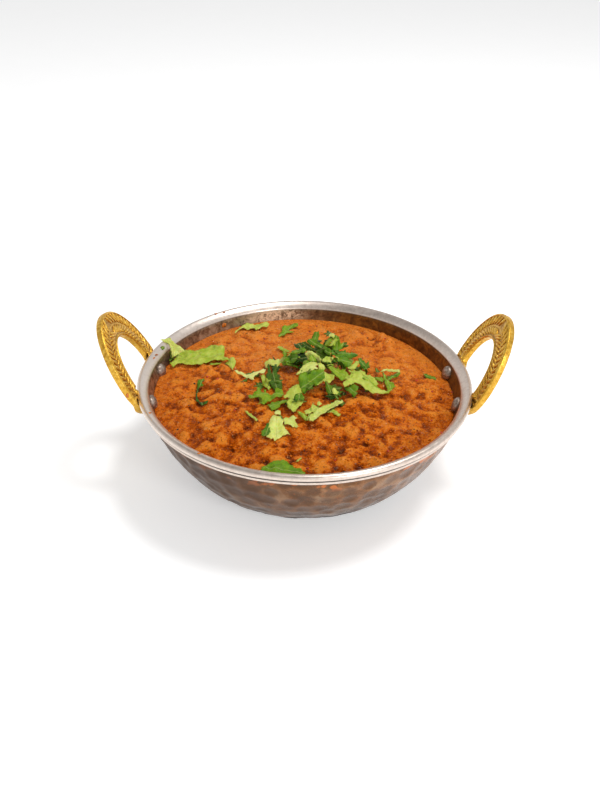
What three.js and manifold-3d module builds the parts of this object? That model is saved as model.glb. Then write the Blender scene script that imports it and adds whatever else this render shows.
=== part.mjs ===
// Mutton keema in its karahi: minced meat curry with chopped coriander, in a small double-walled
// serving bowl of steel and hammered copper with two cast brass loop handles.
// Millimetres, +Z up. The origin is the middle of the flat base, and the handles lie on X.

import * as THREE from 'three';
import { mergeVertices } from 'three/addons/utils/BufferGeometryUtils.js';
import Module from 'manifold-3d';

const wasm = await Module();
wasm.setup();

// Driving dimensions

const GAP = 0.3; // clearance between pieces that touch
const BOWL_SIDES = 48;

const BASE_RADIUS = 40; // flat base, on the table
const WALL_TOP_RADIUS = 77.4;
const WALL_TOP_Z = 48;
const WALL_BULGE = 1.35; // exponents of the wall's curve
const WALL_FLARE = 0.59;
const WALL_STEPS = 7;
const COPPER_SHEET = 1.3;
const STEEL_SHEET = 1.2;
const COPPER_TOP_Z = 47.4; // copper ends inside the steel hem

const RIM_RADIUS = 80;
const RIM_TOP_Z = 51.2;
const RIM_BEAD_RADIUS = 1.6;
const RIM_INNER_RADIUS = 74.8; // where the flared lip turns down into the bowl
const RIM_INNER_Z = 48.3;
const HEM_RADIUS = 78.6; // steel hem folded down over the copper
const HEM_SHEET = 0.85;
const HEM_BOTTOM_Z = 46;

// Each handle's x is its inner face at HANDLE_Z, its lean is in degrees outward from upright, and
// its foot stands out past the ring's outer face by pad.
const RIGHT_HANDLE = { turn: 0, x: 77.6, lean: 25.9, pad: 0.4 };
const LEFT_HANDLE = { turn: 180, x: 75.9, lean: 28.9, pad: 2.1 };
const HANDLE_Z = 48;
const HANDLE_THICKNESS = 3;
const HANDLE_BEVEL = 0.5;
const HANDLE_OVAL = { middle: 5.65, halfWidth: 24.9, up: 32.25, down: 19 };
const HANDLE_HOLE = { middle: 4.4, halfWidth: 15.2, up: 20.3, down: 5.5 };
const HANDLE_FOOT_TOP = -1.5; // below this, measured along the handle, the foot fills to the wall
const HANDLE_FOOT_DEPTH = 9;

const RIVET_Z = 43.3;
const RIVET_ANGLE = 11.3; // degrees each side of the handle
const RIVET_SHANK_RADIUS = 1.6;
const RIVET_HEAD_RADIUS = 3.2;
const RIVET_HEAD_HEIGHT = 1.7;
const RIVET_LENGTH = 8.6;
const RIVET_SIDES = 8;

const CURRY_EDGE_Z = 41;
const CURRY_MOUND = 3.5; // how much the middle stands above the edge
const CURRY_BACK_RISE = 1.2;
const CURRY_RIGHT_FALL = 0.6;
const CURRY_RINGS = 20;
const LUMP_COUNT = 170;
const LUMP_RADIUS = { least: 3.4, most: 6 };
const LUMP_HEIGHT = { least: 0.5, most: 1.7 };
const LARGE_LUMPS = [ // x, y, radius, height; the last two are hollows
  [42.5, 45, 7, 2.6],
  [30, 50, 6.5, 2],
  [-51, -5, 8, -2.2],
  [-32, -46, 7, -1.6],
];

const LEAF_THICKNESS = 0.6;
const SETTLE_STEP = 0.3; // by which a blade is raised or lowered to meet its neighbours
const SETTLE_STEPS = 60;
const SETTLE_OVERLAP = 0.4; // mm3 shared by two blades that have grown together
const SHORTEST_EDGE = 0.04; // edges shorter than this are merged away
const LEAF_REACH = 3.2; // a leaf rests on the highest lump within this distance
const BRIDGE_INNER_RADIUS = 61; // the leaf on the rim hangs free from here to the lip

const COLOURS = {
  steel: 0xcfc4ba,
  copper: 0x8c5c40,
  brass: 0xd3a044,
  curry: 0xc0681c,
  darkLeaf: 0x3f7a17,
  lightLeaf: 0x9cbd4a,
};

// Small helpers

const radians = THREE.MathUtils.degToRad;
const lerp = THREE.MathUtils.lerp;
const polar = (radius, angle, z = 0) =>
  new THREE.Vector3(radius * Math.cos(angle), radius * Math.sin(angle), z);

// Repeatable value from 0 to 1 for item i of the series named by salt.
function scatter(i, salt) {
  const wave = Math.sin(i * 127.1 + salt * 311.7) * 43758.5453;
  return wave - Math.floor(wave);
}

function indexedGeometry(points, index) {
  const geometry = new THREE.BufferGeometry();
  const position = points.flatMap((p) => [p.x, p.y, p.z]);
  geometry.setAttribute('position', new THREE.Float32BufferAttribute(position, 3));
  geometry.setIndex(index);
  return geometry;
}

function signedVolume(position, index) {
  const [a, b, c] = [new THREE.Vector3(), new THREE.Vector3(), new THREE.Vector3()];
  let volume = 0;
  for (let i = 0; i < index.length; i += 3) {
    a.fromArray(position, 3 * index[i]);
    b.fromArray(position, 3 * index[i + 1]);
    c.fromArray(position, 3 * index[i + 2]);
    volume += a.dot(b.cross(c)) / 6;
  }
  return volume;
}

// A closed solid from any closed geometry, with shared corners merged and faces pointing out.
function solid(geometry) {
  const bare = geometry.clone();
  bare.deleteAttribute('normal');
  bare.deleteAttribute('uv');
  const merged = mergeVertices(bare, 1e-4);
  const position = merged.attributes.position.array;
  const index = [];
  for (let i = 0; i < merged.index.count; i += 3) {
    const [a, b, c] = [0, 1, 2].map((k) => merged.index.getX(i + k));
    if (a !== b && b !== c && c !== a) index.push(a, b, c);
  }
  if (signedVolume(position, index) < 0) index.reverse();
  return new wasm.Manifold(new wasm.Mesh({
    numProp: 3,
    vertProperties: Float32Array.from(position),
    triVerts: Uint32Array.from(index),
  }));
}

function geometryOf(manifold) {
  const mesh = manifold.getMesh();
  const geometry = new THREE.BufferGeometry();
  geometry.setAttribute('position', new THREE.BufferAttribute(mesh.vertProperties, 3));
  geometry.setIndex(new THREE.BufferAttribute(mesh.triVerts, 1));
  geometry.computeVertexNormals();
  return geometry;
}

// Turned about the bowl's axis: profile points are (radius, height).
function turned(profile, sides = BOWL_SIDES) {
  const lathe = new THREE.LatheGeometry(profile, sides);
  return solid(lathe.rotateX(Math.PI / 2));
}

// Bowl

function wallRadius(z) {
  const t = THREE.MathUtils.clamp(z / WALL_TOP_Z, 0, 1);
  const grown = (1 - (1 - t) ** WALL_BULGE) ** WALL_FLARE;
  return BASE_RADIUS + (WALL_TOP_RADIUS - BASE_RADIUS) * grown;
}

// The outer wall's curve from the base to the copper's top, moved inward by inset.
function wallCurve(inset) {
  const points = [];
  for (let k = 0; k <= WALL_STEPS; k += 1) {
    const z = COPPER_TOP_Z * (k / WALL_STEPS) ** 2;
    const step = 0.01;
    const slope = k === 0 ? 1e6 : (wallRadius(z + step) - wallRadius(z - step)) / (2 * step);
    const length = Math.hypot(1, slope);
    points.push(new THREE.Vector2(wallRadius(z) - inset / length, z + inset * slope / length));
  }
  return points;
}

// Radius of a wall curve at height z, along the straight stretches between its points.
function radiusAt(curve, z) {
  let k = 1;
  while (k < curve.length - 1 && curve[k].y < z) k += 1;
  const [low, high] = [curve[k - 1], curve[k]];
  return lerp(low.x, high.x, (z - low.y) / (high.y - low.y));
}

function rimOutline() {
  const beadMiddle = new THREE.Vector2(RIM_RADIUS - RIM_BEAD_RADIUS, RIM_TOP_Z - RIM_BEAD_RADIUS);
  const bead = [-60, 0, 55, 95].map((degrees) => {
    const angle = radians(degrees);
    return new THREE.Vector2(Math.cos(angle), Math.sin(angle))
      .multiplyScalar(RIM_BEAD_RADIUS).add(beadMiddle);
  });
  const underside = bead[0].y - 0.1;
  const hemInner = HEM_RADIUS - HEM_SHEET;
  const lip = new THREE.QuadraticBezierCurve(
    bead[3],
    new THREE.Vector2(RIM_INNER_RADIUS + 1.6, RIM_TOP_Z - 0.7),
    new THREE.Vector2(RIM_INNER_RADIUS, RIM_INNER_Z),
  );
  return [
    new THREE.Vector2(hemInner, underside),
    new THREE.Vector2(hemInner, HEM_BOTTOM_Z),
    new THREE.Vector2(HEM_RADIUS, HEM_BOTTOM_Z),
    new THREE.Vector2(HEM_RADIUS, underside),
    ...bead,
    ...lip.getPoints(3).slice(1),
  ];
}

function copperJacket() {
  const outer = wallCurve(0);
  const inner = wallCurve(COPPER_SHEET).reverse();
  return turned([new THREE.Vector2(0, 0), ...outer, ...inner, new THREE.Vector2(0, COPPER_SHEET)]);
}

function steelLiner() {
  const outerInset = COPPER_SHEET + GAP;
  const innerInset = outerInset + STEEL_SHEET;
  const outer = wallCurve(outerInset);
  const inner = wallCurve(innerInset).reverse();
  const start = new THREE.Vector2(0, outerInset);
  const shoulder = new THREE.Vector2(outer.at(-1).x, rimOutline()[0].y);
  return turned([start, ...outer, shoulder, ...rimOutline(), ...inner,
    new THREE.Vector2(0, innerInset)]);
}

// Everything that the handles stay clear of.
function bowlEnvelope() {
  const below = -1;
  const above = 54;
  const hem = HEM_RADIUS + GAP;
  const rim = RIM_RADIUS + GAP;
  return turned([
    new THREE.Vector2(0, below),
    new THREE.Vector2(BASE_RADIUS, below),
    ...wallCurve(-GAP).slice(1, -1),
    new THREE.Vector2(wallRadius(HEM_BOTTOM_Z - GAP) + GAP, HEM_BOTTOM_Z - GAP),
    new THREE.Vector2(hem, HEM_BOTTOM_Z - GAP),
    new THREE.Vector2(hem, HEM_BOTTOM_Z + 1.2),
    new THREE.Vector2(rim, HEM_BOTTOM_Z + 2),
    new THREE.Vector2(rim, above),
    new THREE.Vector2(0, above),
  ]);
}

// Rivets: head inside the bowl, shank out through both walls and the handle's foot.

const linerInner = COPPER_SHEET + GAP + STEEL_SHEET;
const RIVET_PLACES = [0, 180].flatMap((handle) =>
  [-1, 1].map((side) => radians(handle + side * RIVET_ANGLE)));

// The spot inside the bowl where a rivet's axis comes through, and the wall's slope there.
function rivetSeat() {
  const step = 1;
  const inner = wallCurve(linerInner);
  const slope = Math.atan((radiusAt(inner, RIVET_Z + step) - radiusAt(inner, RIVET_Z - step)) / (2 * step));
  const radius = radiusAt(inner, RIVET_Z) * Math.cos(Math.PI / BOWL_SIDES);
  return { slope, start: new THREE.Vector3(radius, 0, RIVET_Z) };
}

// Turned about the rivet's own axis, then laid along the wall's outward normal.
function atRivet(profile, angle) {
  const { slope, start } = rivetSeat();
  const along = new THREE.Vector3(Math.cos(slope), 0, -Math.sin(slope));
  const turn = new THREE.Quaternion().setFromUnitVectors(new THREE.Vector3(0, 1, 0), along);
  const lathe = new THREE.LatheGeometry(profile.map(([r, h]) => new THREE.Vector2(r, h)), RIVET_SIDES);
  const place = new THREE.Matrix4().compose(start, turn, new THREE.Vector3(1, 1, 1));
  return solid(lathe.applyMatrix4(new THREE.Matrix4().makeRotationZ(angle).multiply(place)));
}

function rivet(angle) {
  const head = RIVET_HEAD_RADIUS;
  const shank = RIVET_SHANK_RADIUS;
  const crown = -GAP - RIVET_HEAD_HEIGHT;
  return atRivet([
    [0, crown],
    [head * 0.5, crown + RIVET_HEAD_HEIGHT * 0.15],
    [head * 0.86, crown + RIVET_HEAD_HEIGHT * 0.52],
    [head, -GAP],
    [shank, -GAP],
    [shank, RIVET_LENGTH - 0.6],
    [shank * 0.6, RIVET_LENGTH - 0.1],
    [0, RIVET_LENGTH],
  ], angle);
}

function rivetHole(angle) {
  const radius = RIVET_SHANK_RADIUS + GAP;
  return atRivet([[0, -1], [radius, -1], [radius, RIVET_LENGTH + 4], [0, RIVET_LENGTH + 4]], angle);
}

function rivetHeadRoom(angle) {
  const radius = RIVET_HEAD_RADIUS + GAP;
  const reach = RIVET_HEAD_HEIGHT + 2 * GAP;
  const room = [[0, -reach], [radius * 0.6, -reach], [radius, -reach * 0.6], [radius, 2], [0, 2]];
  return atRivet(room, angle);
}

const allRivetHoles = () => wasm.Manifold.union(RIVET_PLACES.map(rivetHole));

// Handles: an oval ring that leans outward, with a foot that fills the space to the wall.

function ovalPath(path, oval) {
  path.absellipse(0, oval.middle, oval.halfWidth, oval.up, 0, Math.PI, false);
  path.absellipse(0, oval.middle, oval.halfWidth, oval.down, Math.PI, 2 * Math.PI, false);
  return path;
}

// A plate in the handle's plane: shape X is along the rim, shape Y up the handle, depth outward.
function handlePlate(place, shape, innerOffset, depth, bevel, curveSegments) {
  const lean = radians(place.lean);
  const across = new THREE.Vector3(0, 1, 0);
  const up = new THREE.Vector3(Math.sin(lean), 0, Math.cos(lean));
  const outward = new THREE.Vector3(Math.cos(lean), 0, -Math.sin(lean));
  const plate = new THREE.ExtrudeGeometry(shape, {
    depth: depth - 2 * bevel,
    curveSegments,
    bevelEnabled: bevel > 0,
    bevelThickness: bevel,
    bevelSize: bevel,
    bevelOffset: -bevel,
    bevelSegments: 1,
  });
  plate.translate(0, 0, innerOffset + bevel);
  plate.applyMatrix4(new THREE.Matrix4().makeBasis(across, up, outward));
  plate.translate(place.x, 0, HANDLE_Z);
  return solid(plate);
}

function handle(place) {
  const ringShape = ovalPath(new THREE.Shape(), HANDLE_OVAL);
  ringShape.holes.push(ovalPath(new THREE.Path(), HANDLE_HOLE));
  const ring = handlePlate(place, ringShape, 0, HANDLE_THICKNESS, HANDLE_BEVEL, 9);

  // The foot is the oval's lower part, down from the straight line at HANDLE_FOOT_TOP.
  const { middle, halfWidth, down } = HANDLE_OVAL;
  const dip = Math.asin((middle - HANDLE_FOOT_TOP) / down);
  const footShape = new THREE.Shape();
  footShape.absellipse(0, middle, halfWidth - HANDLE_BEVEL, down - HANDLE_BEVEL,
    Math.PI + dip, 2 * Math.PI - dip, false);
  const footDepth = HANDLE_FOOT_DEPTH + HANDLE_THICKNESS - HANDLE_BEVEL + place.pad;
  const foot = handlePlate(place, footShape, -HANDLE_FOOT_DEPTH, footDepth, 0, 8);

  const whole = ring.add(foot).subtract(bowlEnvelope()).subtract(allRivetHoles());
  return whole.simplify(SHORTEST_EDGE).rotate([0, 0, place.turn]);
}

// Triangle patterns

// Triangles between two rings that both start at angle 0 and run the same way round.
// The second ring lies outside the first, seen from the side that the faces point to.
function zip(inner, outer) {
  const triangles = [];
  const [m, n] = [inner.length, outer.length];
  let [i, j] = [0, 0];
  while (j < n || (m > 1 && i < m)) {
    const stepOuter = j < n && (m === 1 || i >= m || (j + 1) / n <= (i + 1) / m + 1e-9);
    if (stepOuter) triangles.push([inner[i % m], outer[j], outer[(j + 1) % n]]);
    else triangles.push([inner[i], outer[j % n], inner[(i + 1) % m]]);
    if (stepOuter) j += 1;
    else i += 1;
  }
  return triangles;
}

// A unit disc of rings with 6, 12, 18... corners: even-sized triangles all over.
function discPattern(rings) {
  const spots = [{ reach: 0, angle: 0 }];
  const loops = [[0]];
  for (let k = 1; k <= rings; k += 1) {
    const loop = [];
    for (let j = 0; j < 6 * k; j += 1) {
      loop.push(spots.length);
      spots.push({ reach: k / rings, angle: 2 * Math.PI * j / (6 * k) });
    }
    loops.push(loop);
  }
  const triangles = loops.slice(1).flatMap((loop, k) => zip(loops[k], loop));
  return { spots, triangles, edge: loops.at(-1) };
}

// A thin solid: the same triangles below and above, joined round the edge.
function sheet(points, triangles, edge, thickness) {
  const count = points.length;
  const lift = (i) => (typeof thickness === 'function' ? thickness(i) : thickness);
  const upper = points.map((p, i) => new THREE.Vector3(p.x, p.y, p.z + lift(i)));
  const index = triangles.flatMap(([a, b, c]) => [a + count, b + count, c + count, a, c, b]);
  edge.forEach((a, k) => {
    const b = edge[(k + 1) % edge.length];
    index.push(a, b, b + count, a, b + count, a + count);
  });
  return solid(indexedGeometry([...points, ...upper], index));
}

// Curry

const curryWall = wallCurve(linerInner + GAP);

// The bowl is a polygon seen from above, so its sides lie a little inside its corners.
function insideSides(radius, angle) {
  const half = Math.PI / BOWL_SIDES;
  const offset = ((angle % (2 * half)) + 2 * half) % (2 * half) - half;
  return radius * Math.cos(half) / Math.cos(offset);
}

const CURRY_RADIUS = radiusAt(curryWall, CURRY_EDGE_Z);
const GOLDEN_ANGLE = Math.PI * (3 - Math.sqrt(5));

const lumps = Array.from({ length: LUMP_COUNT }, (_, i) => {
  const reach = CURRY_RADIUS * Math.sqrt((i + 0.5) / LUMP_COUNT);
  const angle = i * GOLDEN_ANGLE + 0.9 * scatter(i, 1);
  const radius = lerp(LUMP_RADIUS.least, LUMP_RADIUS.most, scatter(i, 2));
  const height = lerp(LUMP_HEIGHT.least, LUMP_HEIGHT.most, scatter(i, 3));
  return { ...polar(reach, angle), radius, height };
});

function curryTop(x, y) {
  const outward = Math.min((x * x + y * y) / CURRY_RADIUS ** 2, 1);
  let z = CURRY_EDGE_Z + CURRY_MOUND * (1 - outward);
  z += CURRY_BACK_RISE * y / CURRY_RADIUS - CURRY_RIGHT_FALL * x / CURRY_RADIUS;
  let rise = 0;
  for (const lump of lumps) {
    const near = 1 - ((x - lump.x) ** 2 + (y - lump.y) ** 2) / lump.radius ** 2;
    if (near > 0) rise = Math.max(rise, lump.height * Math.sqrt(near));
  }
  for (const [lumpX, lumpY, radius, height] of LARGE_LUMPS) {
    const near = 1 - ((x - lumpX) ** 2 + (y - lumpY) ** 2) / radius ** 2;
    if (near > 0) z += height * near * (2 - near);
  }
  return z + rise * Math.min(1, 6 * (1 - outward));
}

function curry() {
  const { spots, triangles, edge } = discPattern(CURRY_RINGS);
  const points = spots.map(({ reach, angle }, i) => {
    const onEdge = reach === 1;
    const jitter = onEdge || reach === 0 ? 0 : 0.3 / CURRY_RINGS;
    const spread = reach + jitter * (scatter(i, 4) - 0.5);
    const turn = angle + (jitter * (scatter(i, 5) - 0.5)) / Math.max(reach, 0.1);
    const spot = polar(CURRY_RADIUS * spread, turn);
    const z = curryTop(spot.x, spot.y);
    return onEdge ? polar(insideSides(radiusAt(curryWall, z), turn), turn, z) : spot.setZ(z);
  });
  const faces = [...triangles];
  let previous = edge;
  for (const { x: radius, y: z } of curryWall.slice(1, -1).reverse()) {
    const loop = Array.from({ length: BOWL_SIDES }, (_, j) => points.length + j);
    loop.forEach((_, j) => points.push(polar(radius, 2 * Math.PI * j / BOWL_SIDES, z)));
    faces.push(...zip(previous, loop));
    previous = loop;
  }
  const bottom = points.length;
  points.push(new THREE.Vector3(0, 0, curryWall[0].y));
  previous.forEach((a, j) => faces.push([a, bottom, previous[(j + 1) % BOWL_SIDES]]));
  const whole = solid(indexedGeometry(points, faces.flat()));
  return whole.subtract(wasm.Manifold.union(RIVET_PLACES.map(rivetHeadRoom)));
}

// Coriander

// Height of the ground that a leaf lies on: the highest lump nearby.
function ground(x, y) {
  let z = curryTop(x, y);
  for (let k = 0; k < 8; k += 1) {
    const near = polar(LEAF_REACH * (k % 2 ? 0.55 : 1), k * Math.PI / 4);
    z = Math.max(z, curryTop(x + near.x, y + near.y));
  }
  return z + GAP;
}

// The same for the leaf that leans on the lip: it hangs straight from the lip to the curry.
function bridgedGround(x, y) {
  const reach = Math.hypot(x, y);
  const along = (reach - BRIDGE_INNER_RADIUS) / (RIM_INNER_RADIUS + 3 - BRIDGE_INNER_RADIUS);
  const low = ground(...[x, y].map((v) => v * Math.min(1, BRIDGE_INNER_RADIUS / reach)));
  return along <= 0 ? ground(x, y) : lerp(low, RIM_TOP_Z + GAP, Math.min(along, 1));
}

// Leaf options: at [x, y] its root, heading in degrees, lift of the root above the ground,
// pitch and roll in degrees, arch the height of its hump, ripple the depth of its waves.
function place(local, options, groundAt) {
  const { at, heading, length, seed } = options;
  const { lift = 0, pitch = 0, roll = 0, arch = 0, ripple = 0.5 } = options;
  const [cosine, sine] = [Math.cos(radians(heading)), Math.sin(radians(heading))];
  const base = groundAt(...at) + lift;
  return local.map(([u, v], i) => {
    const x = at[0] + u * cosine - v * sine;
    const y = at[1] + u * sine + v * cosine;
    const hump = arch * 4 * (u / length) * (1 - u / length);
    const wave = Math.sin(1.1 * u + 0.9 * v + 5 * seed) + 0.4 * (scatter(i, seed) - 0.5);
    const tilt = u * Math.tan(radians(pitch)) + v * Math.tan(radians(roll));
    const z = base + tilt + hump + ripple * wave;
    return new THREE.Vector3(x, y, Math.max(z, groundAt(x, y)));
  });
}

// A leaf of pointed lobes spread round its root. Each lobe is [angle in degrees, reach as a
// share of the leaf's length], from right to left.
function fanLeaf(options, groundAt = ground) {
  const { length, lobes, notch = 0.62 } = options;
  const outline = [[0, 0]];
  lobes.forEach(([angle, reach], k) => {
    const [before, after] = [lobes[k - 1], lobes[k + 1]];
    const spacings = [before, after].filter(Boolean).map((other) => Math.abs(other[0] - angle));
    const half = 0.3 * Math.min(...spacings);
    [[-half, 0.84], [0, 1], [half, 0.84]].forEach(([turn, share]) => {
      const direction = radians(angle + turn);
      const distance = length * reach * share;
      outline.push([distance * Math.cos(direction), distance * Math.sin(direction)]);
    });
    if (!after) return;
    const between = radians((angle + after[0]) / 2);
    const depth = length * notch * Math.min(reach, after[1]);
    outline.push([depth * Math.cos(between), depth * Math.sin(between)]);
  });
  const triangles = outline.slice(2).map((_, i) => [0, i + 1, i + 2]);
  return sheet(place(outline, options, groundAt), triangles, outline.map((_, i) => i), LEAF_THICKNESS);
}

// A strip of leaf or stalk: bend is how far it turns over its length, ends its width there as a
// share of the full width, and crest how far its middle line stands above its edges.
function stripLeaf(options, groundAt = ground) {
  const { length, width, bend = 0, ends = [0.4, 0.5], crest = 0.4, steps = 5 } = options;
  const local = [];
  const rise = [];
  let [u, v] = [0, 0];
  for (let k = 0; k <= steps; k += 1) {
    const share = k / steps;
    const direction = radians(bend * (share - 0.5 / steps));
    if (k > 0) {
      u += length / steps * Math.cos(direction);
      v += length / steps * Math.sin(direction);
    }
    const ease = Math.min(1, 3 * share + ends[0], 3 * (1 - share) + ends[1]);
    const half = width / 2 * ease * (0.9 + 0.2 * scatter(k, options.seed));
    [half, 0, -half].forEach((side) => {
      local.push([u - side * Math.sin(direction), v + side * Math.cos(direction)]);
      rise.push(side === 0 ? crest : 0);
    });
  }
  const triangles = [];
  for (let k = 0; k < steps; k += 1) {
    const a = 3 * k;
    triangles.push([a, a + 1, a + 4], [a, a + 4, a + 3], [a + 1, a + 2, a + 5], [a + 1, a + 5, a + 4]);
  }
  const left = Array.from({ length: steps + 1 }, (_, k) => 3 * k);
  const edge = [...left.map((i) => i + 2), 3 * steps + 1, ...left.reverse(), 1];
  const points = place(local, options, groundAt).map((p, i) => p.setZ(p.z + rise[i]));
  return sheet(points, triangles, edge, LEAF_THICKNESS);
}

// The pad of crossed stalks and hidden leaves under the heap.
function heapCore({ at, halfLength, halfWidth, heading, height }) {
  const { spots, triangles, edge } = discPattern(4);
  const [cosine, sine] = [Math.cos(radians(heading)), Math.sin(radians(heading))];
  const points = spots.map(({ reach, angle }) => {
    const uneven = 1 + 0.12 * Math.sin(3 * angle + 1) + 0.08 * Math.sin(5 * angle);
    const u = halfLength * Math.cos(angle) * reach * uneven;
    const v = halfWidth * Math.sin(angle) * reach * uneven;
    const [x, y] = [at[0] + u * cosine - v * sine, at[1] + u * sine + v * cosine];
    return new THREE.Vector3(x, y, ground(x, y));
  });
  return sheet(points, triangles, edge, (i) => LEAF_THICKNESS + height * (1 - spots[i].reach ** 2));
}

const HEAP_CORE = { at: [9, 5], halfLength: 19, halfWidth: 10.5, heading: -32, height: 4.5 };

// Blades of the heap, each set on those before it.
const HEAP_BLADES = [
  { at: [3, 8], heading: -97, length: 25, lift: 6, pitch: -14, arch: 2, seed: 6,
    lobes: [[-44, 0.62], [-18, 0.9], [8, 1], [36, 0.8]] },
  { at: [3, 6], heading: 112, length: 18, lift: 4.5, pitch: 8, seed: 7,
    lobes: [[-34, 0.8], [0, 1], [32, 0.9]] },
  { at: [9, 6], heading: -42, length: 17, lift: 4.5, pitch: -6, seed: 8,
    lobes: [[-30, 0.8], [0, 1], [30, 0.8]] },
  { at: [17, 2], heading: -50, length: 21, lift: 4, pitch: -9, arch: 1.5, seed: 9,
    lobes: [[-32, 0.9], [-8, 1], [18, 0.95], [56, 0.6]] },
  { at: [-5, -7], heading: -98, length: 22, lift: 1, pitch: -2, seed: 5,
    lobes: [[-26, 0.66], [0, 1], [26, 0.72]] },
  { at: [-9.5, -16], heading: 222, length: 11, lift: 0.6, seed: 4,
    lobes: [[-30, 0.9], [0, 1], [32, 0.8]] },
  { at: [-8, -12], heading: 184, length: 19, lift: 1, notch: 0.4, seed: 3,
    lobes: [[-28, 0.84], [0, 1], [34, 0.78]] },
  { at: [-16, 8], heading: -82, length: 24, lift: 4, pitch: -8, seed: 2,
    lobes: [[-18, 0.7], [0, 1], [20, 0.75]] },
  { at: [-21, 9], heading: 26, length: 24, width: 5.4, lift: 2.4, pitch: 4, ripple: 0.8, seed: 12 },
  { at: [-35, 5.5], heading: -32, length: 30, width: 3.4, bend: 56, lift: 0.4, pitch: 3, seed: 11 },
  { at: [1, 19], heading: -50, length: 19, width: 7, lift: 5.5, pitch: 6, seed: 14 },
  { at: [0, 15], heading: -56, length: 15, width: 4.6, lift: 7.5, seed: 13 },
  { at: [4, 17], heading: 80, length: 14, width: 4.6, lift: 6, pitch: 24, seed: 15 },
  { at: [8, 12], heading: 66, length: 15, width: 4.4, lift: 6, pitch: 20, seed: 16 },
  { at: [13, 25], heading: -74, length: 17, width: 6, lift: 10, pitch: -24, seed: 17 },
  { at: [10, 12], heading: -8, length: 18, width: 5.6, lift: 5, seed: 18 },
  { at: [13, 8], heading: -38, length: 15, width: 6.4, lift: 6, pitch: -6, seed: 19 },
  { at: [21, 12], heading: -44, length: 14, width: 5, lift: 4, pitch: -6, ends: [0.9, 0.9], seed: 20 },
  { at: [9, -2], heading: -74, length: 17, width: 3.8, lift: 4.5, pitch: -14, seed: 21 },
];

// Leaves that lie apart. Each is one piece, made of one or more blades grown together.
const LONE_LEAVES = {
  coriander_loop_leaf: [
    { at: [40, 5], heading: -82, length: 16, width: 5, lift: 1.2, pitch: -3, seed: 31 },
    { at: [35, 7.5], heading: 30, length: 18, width: 2.6, bend: -170, lift: 1.6, seed: 32 },
  ],
  coriander_fan_leaf: [
    { at: [-13, -27], heading: -96, length: 19, lift: 1.6, pitch: -5, arch: 1.2, notch: 0.76, seed: 33,
      lobes: [[-22, 0.84], [-4, 1], [15, 0.94], [40, 0.78]] },
  ],
  coriander_rolled_leaf: [
    { at: [2, -35], heading: 48, length: 22, width: 5, lift: 0.8, crest: 1.2, seed: 34 },
    { at: [4, -34], heading: 142, length: 10, lift: 0.8, seed: 35,
      lobes: [[-24, 0.9], [0, 1], [26, 0.8]] },
    { at: [8, -24], heading: -46, length: 10, width: 2.6, lift: 0.6, seed: 36 },
  ],
  coriander_thin_sliver: [
    { at: [-29, -25.5], heading: -54, length: 11, width: 1.8, crest: 0.2, seed: 37 },
  ],
  coriander_stem_bit: [
    { at: [-14.5, 35], heading: -30, length: 8.5, width: 2.6, lift: 0.4, ends: [0.9, 0.8], seed: 38 },
  ],
  coriander_back_leaf: [
    { at: [-14.5, 47], heading: 52, length: 16, lift: 0.3, notch: 0.45, seed: 39,
      lobes: [[-30, 0.9], [0, 1], [28, 0.7]] },
  ],
  coriander_back_strip: [
    { at: [-39, 50.5], heading: 34, length: 24, width: 5, lift: 0.4, ends: [0.2, 0.6], seed: 40 },
  ],
  coriander_rim_leaf: [
    { at: [-68, 19], heading: 12, length: 28, width: 13, lift: 0.6, roll: 8, ends: [0.45, 1],
      crest: 0.6, seed: 41 },
    { at: [-57, 20], heading: 143, length: 20, width: 6.4, lift: 1, ends: [1, 0.5], seed: 42 },
  ],
  coriander_rim_crumb: [
    { at: [-36, 25], heading: -96, length: 10, lift: 0.4, seed: 43,
      lobes: [[-26, 0.8], [0, 1], [28, 0.7]] },
  ],
  coriander_curled_sliver: [
    { at: [-51, 4], heading: -118, length: 25, width: 2, bend: 98, crest: 0.2, seed: 44 },
  ],
  coriander_front_leaf: [
    { at: [-21, -65], heading: 1, length: 20, width: 10.5, lift: 0.3, ends: [0.25, 0.25],
      crest: 0.9, seed: 45 },
  ],
  coriander_right_leaf: [
    { at: [59.5, 13], heading: -36, length: 8.5, width: 3.4, lift: 0.2, ends: [0.3, 0.5], seed: 46 },
  ],
};

const blade = (options, groundAt) =>
  (options.lobes ? fanLeaf(options, groundAt) : stripLeaf(options, groundAt));

// The pile's one body without the short edges that joining leaves behind.
function tidied(pile) {
  const bodies = pile.simplify(SHORTEST_EDGE).decompose();
  return bodies.reduce((largest, body) => (body.volume() > largest.volume() ? body : largest));
}

// The pile with one more blade, which is raised or lowered a little until it meets the pile.
function withBlade(pile, options, groundAt) {
  for (let step = 0; step < SETTLE_STEPS; step += 1) {
    const shift = (step % 2 ? -1 : 1) * Math.ceil(step / 2) * SETTLE_STEP;
    const lift = Math.max(0, (options.lift ?? 0) + shift);
    const leaf = blade({ ...options, lift }, groundAt);
    if (leaf.intersect(pile).volume() > SETTLE_OVERLAP) return pile.add(leaf);
  }
  throw new Error(`a blade at ${options.at} meets nothing`);
}

function corianderHeap() {
  const core = heapCore(HEAP_CORE);
  return tidied(HEAP_BLADES.reduce((pile, options) => withBlade(pile, options, ground), core));
}

function loneLeaf(name) {
  const groundAt = name === 'coriander_rim_leaf' ? bridgedGround : ground;
  const [first, ...others] = LONE_LEAVES[name];
  const root = blade(first, groundAt);
  return tidied(others.reduce((pile, options) => withBlade(pile, options, groundAt), root));
}

// Materials and the finished model

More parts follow.
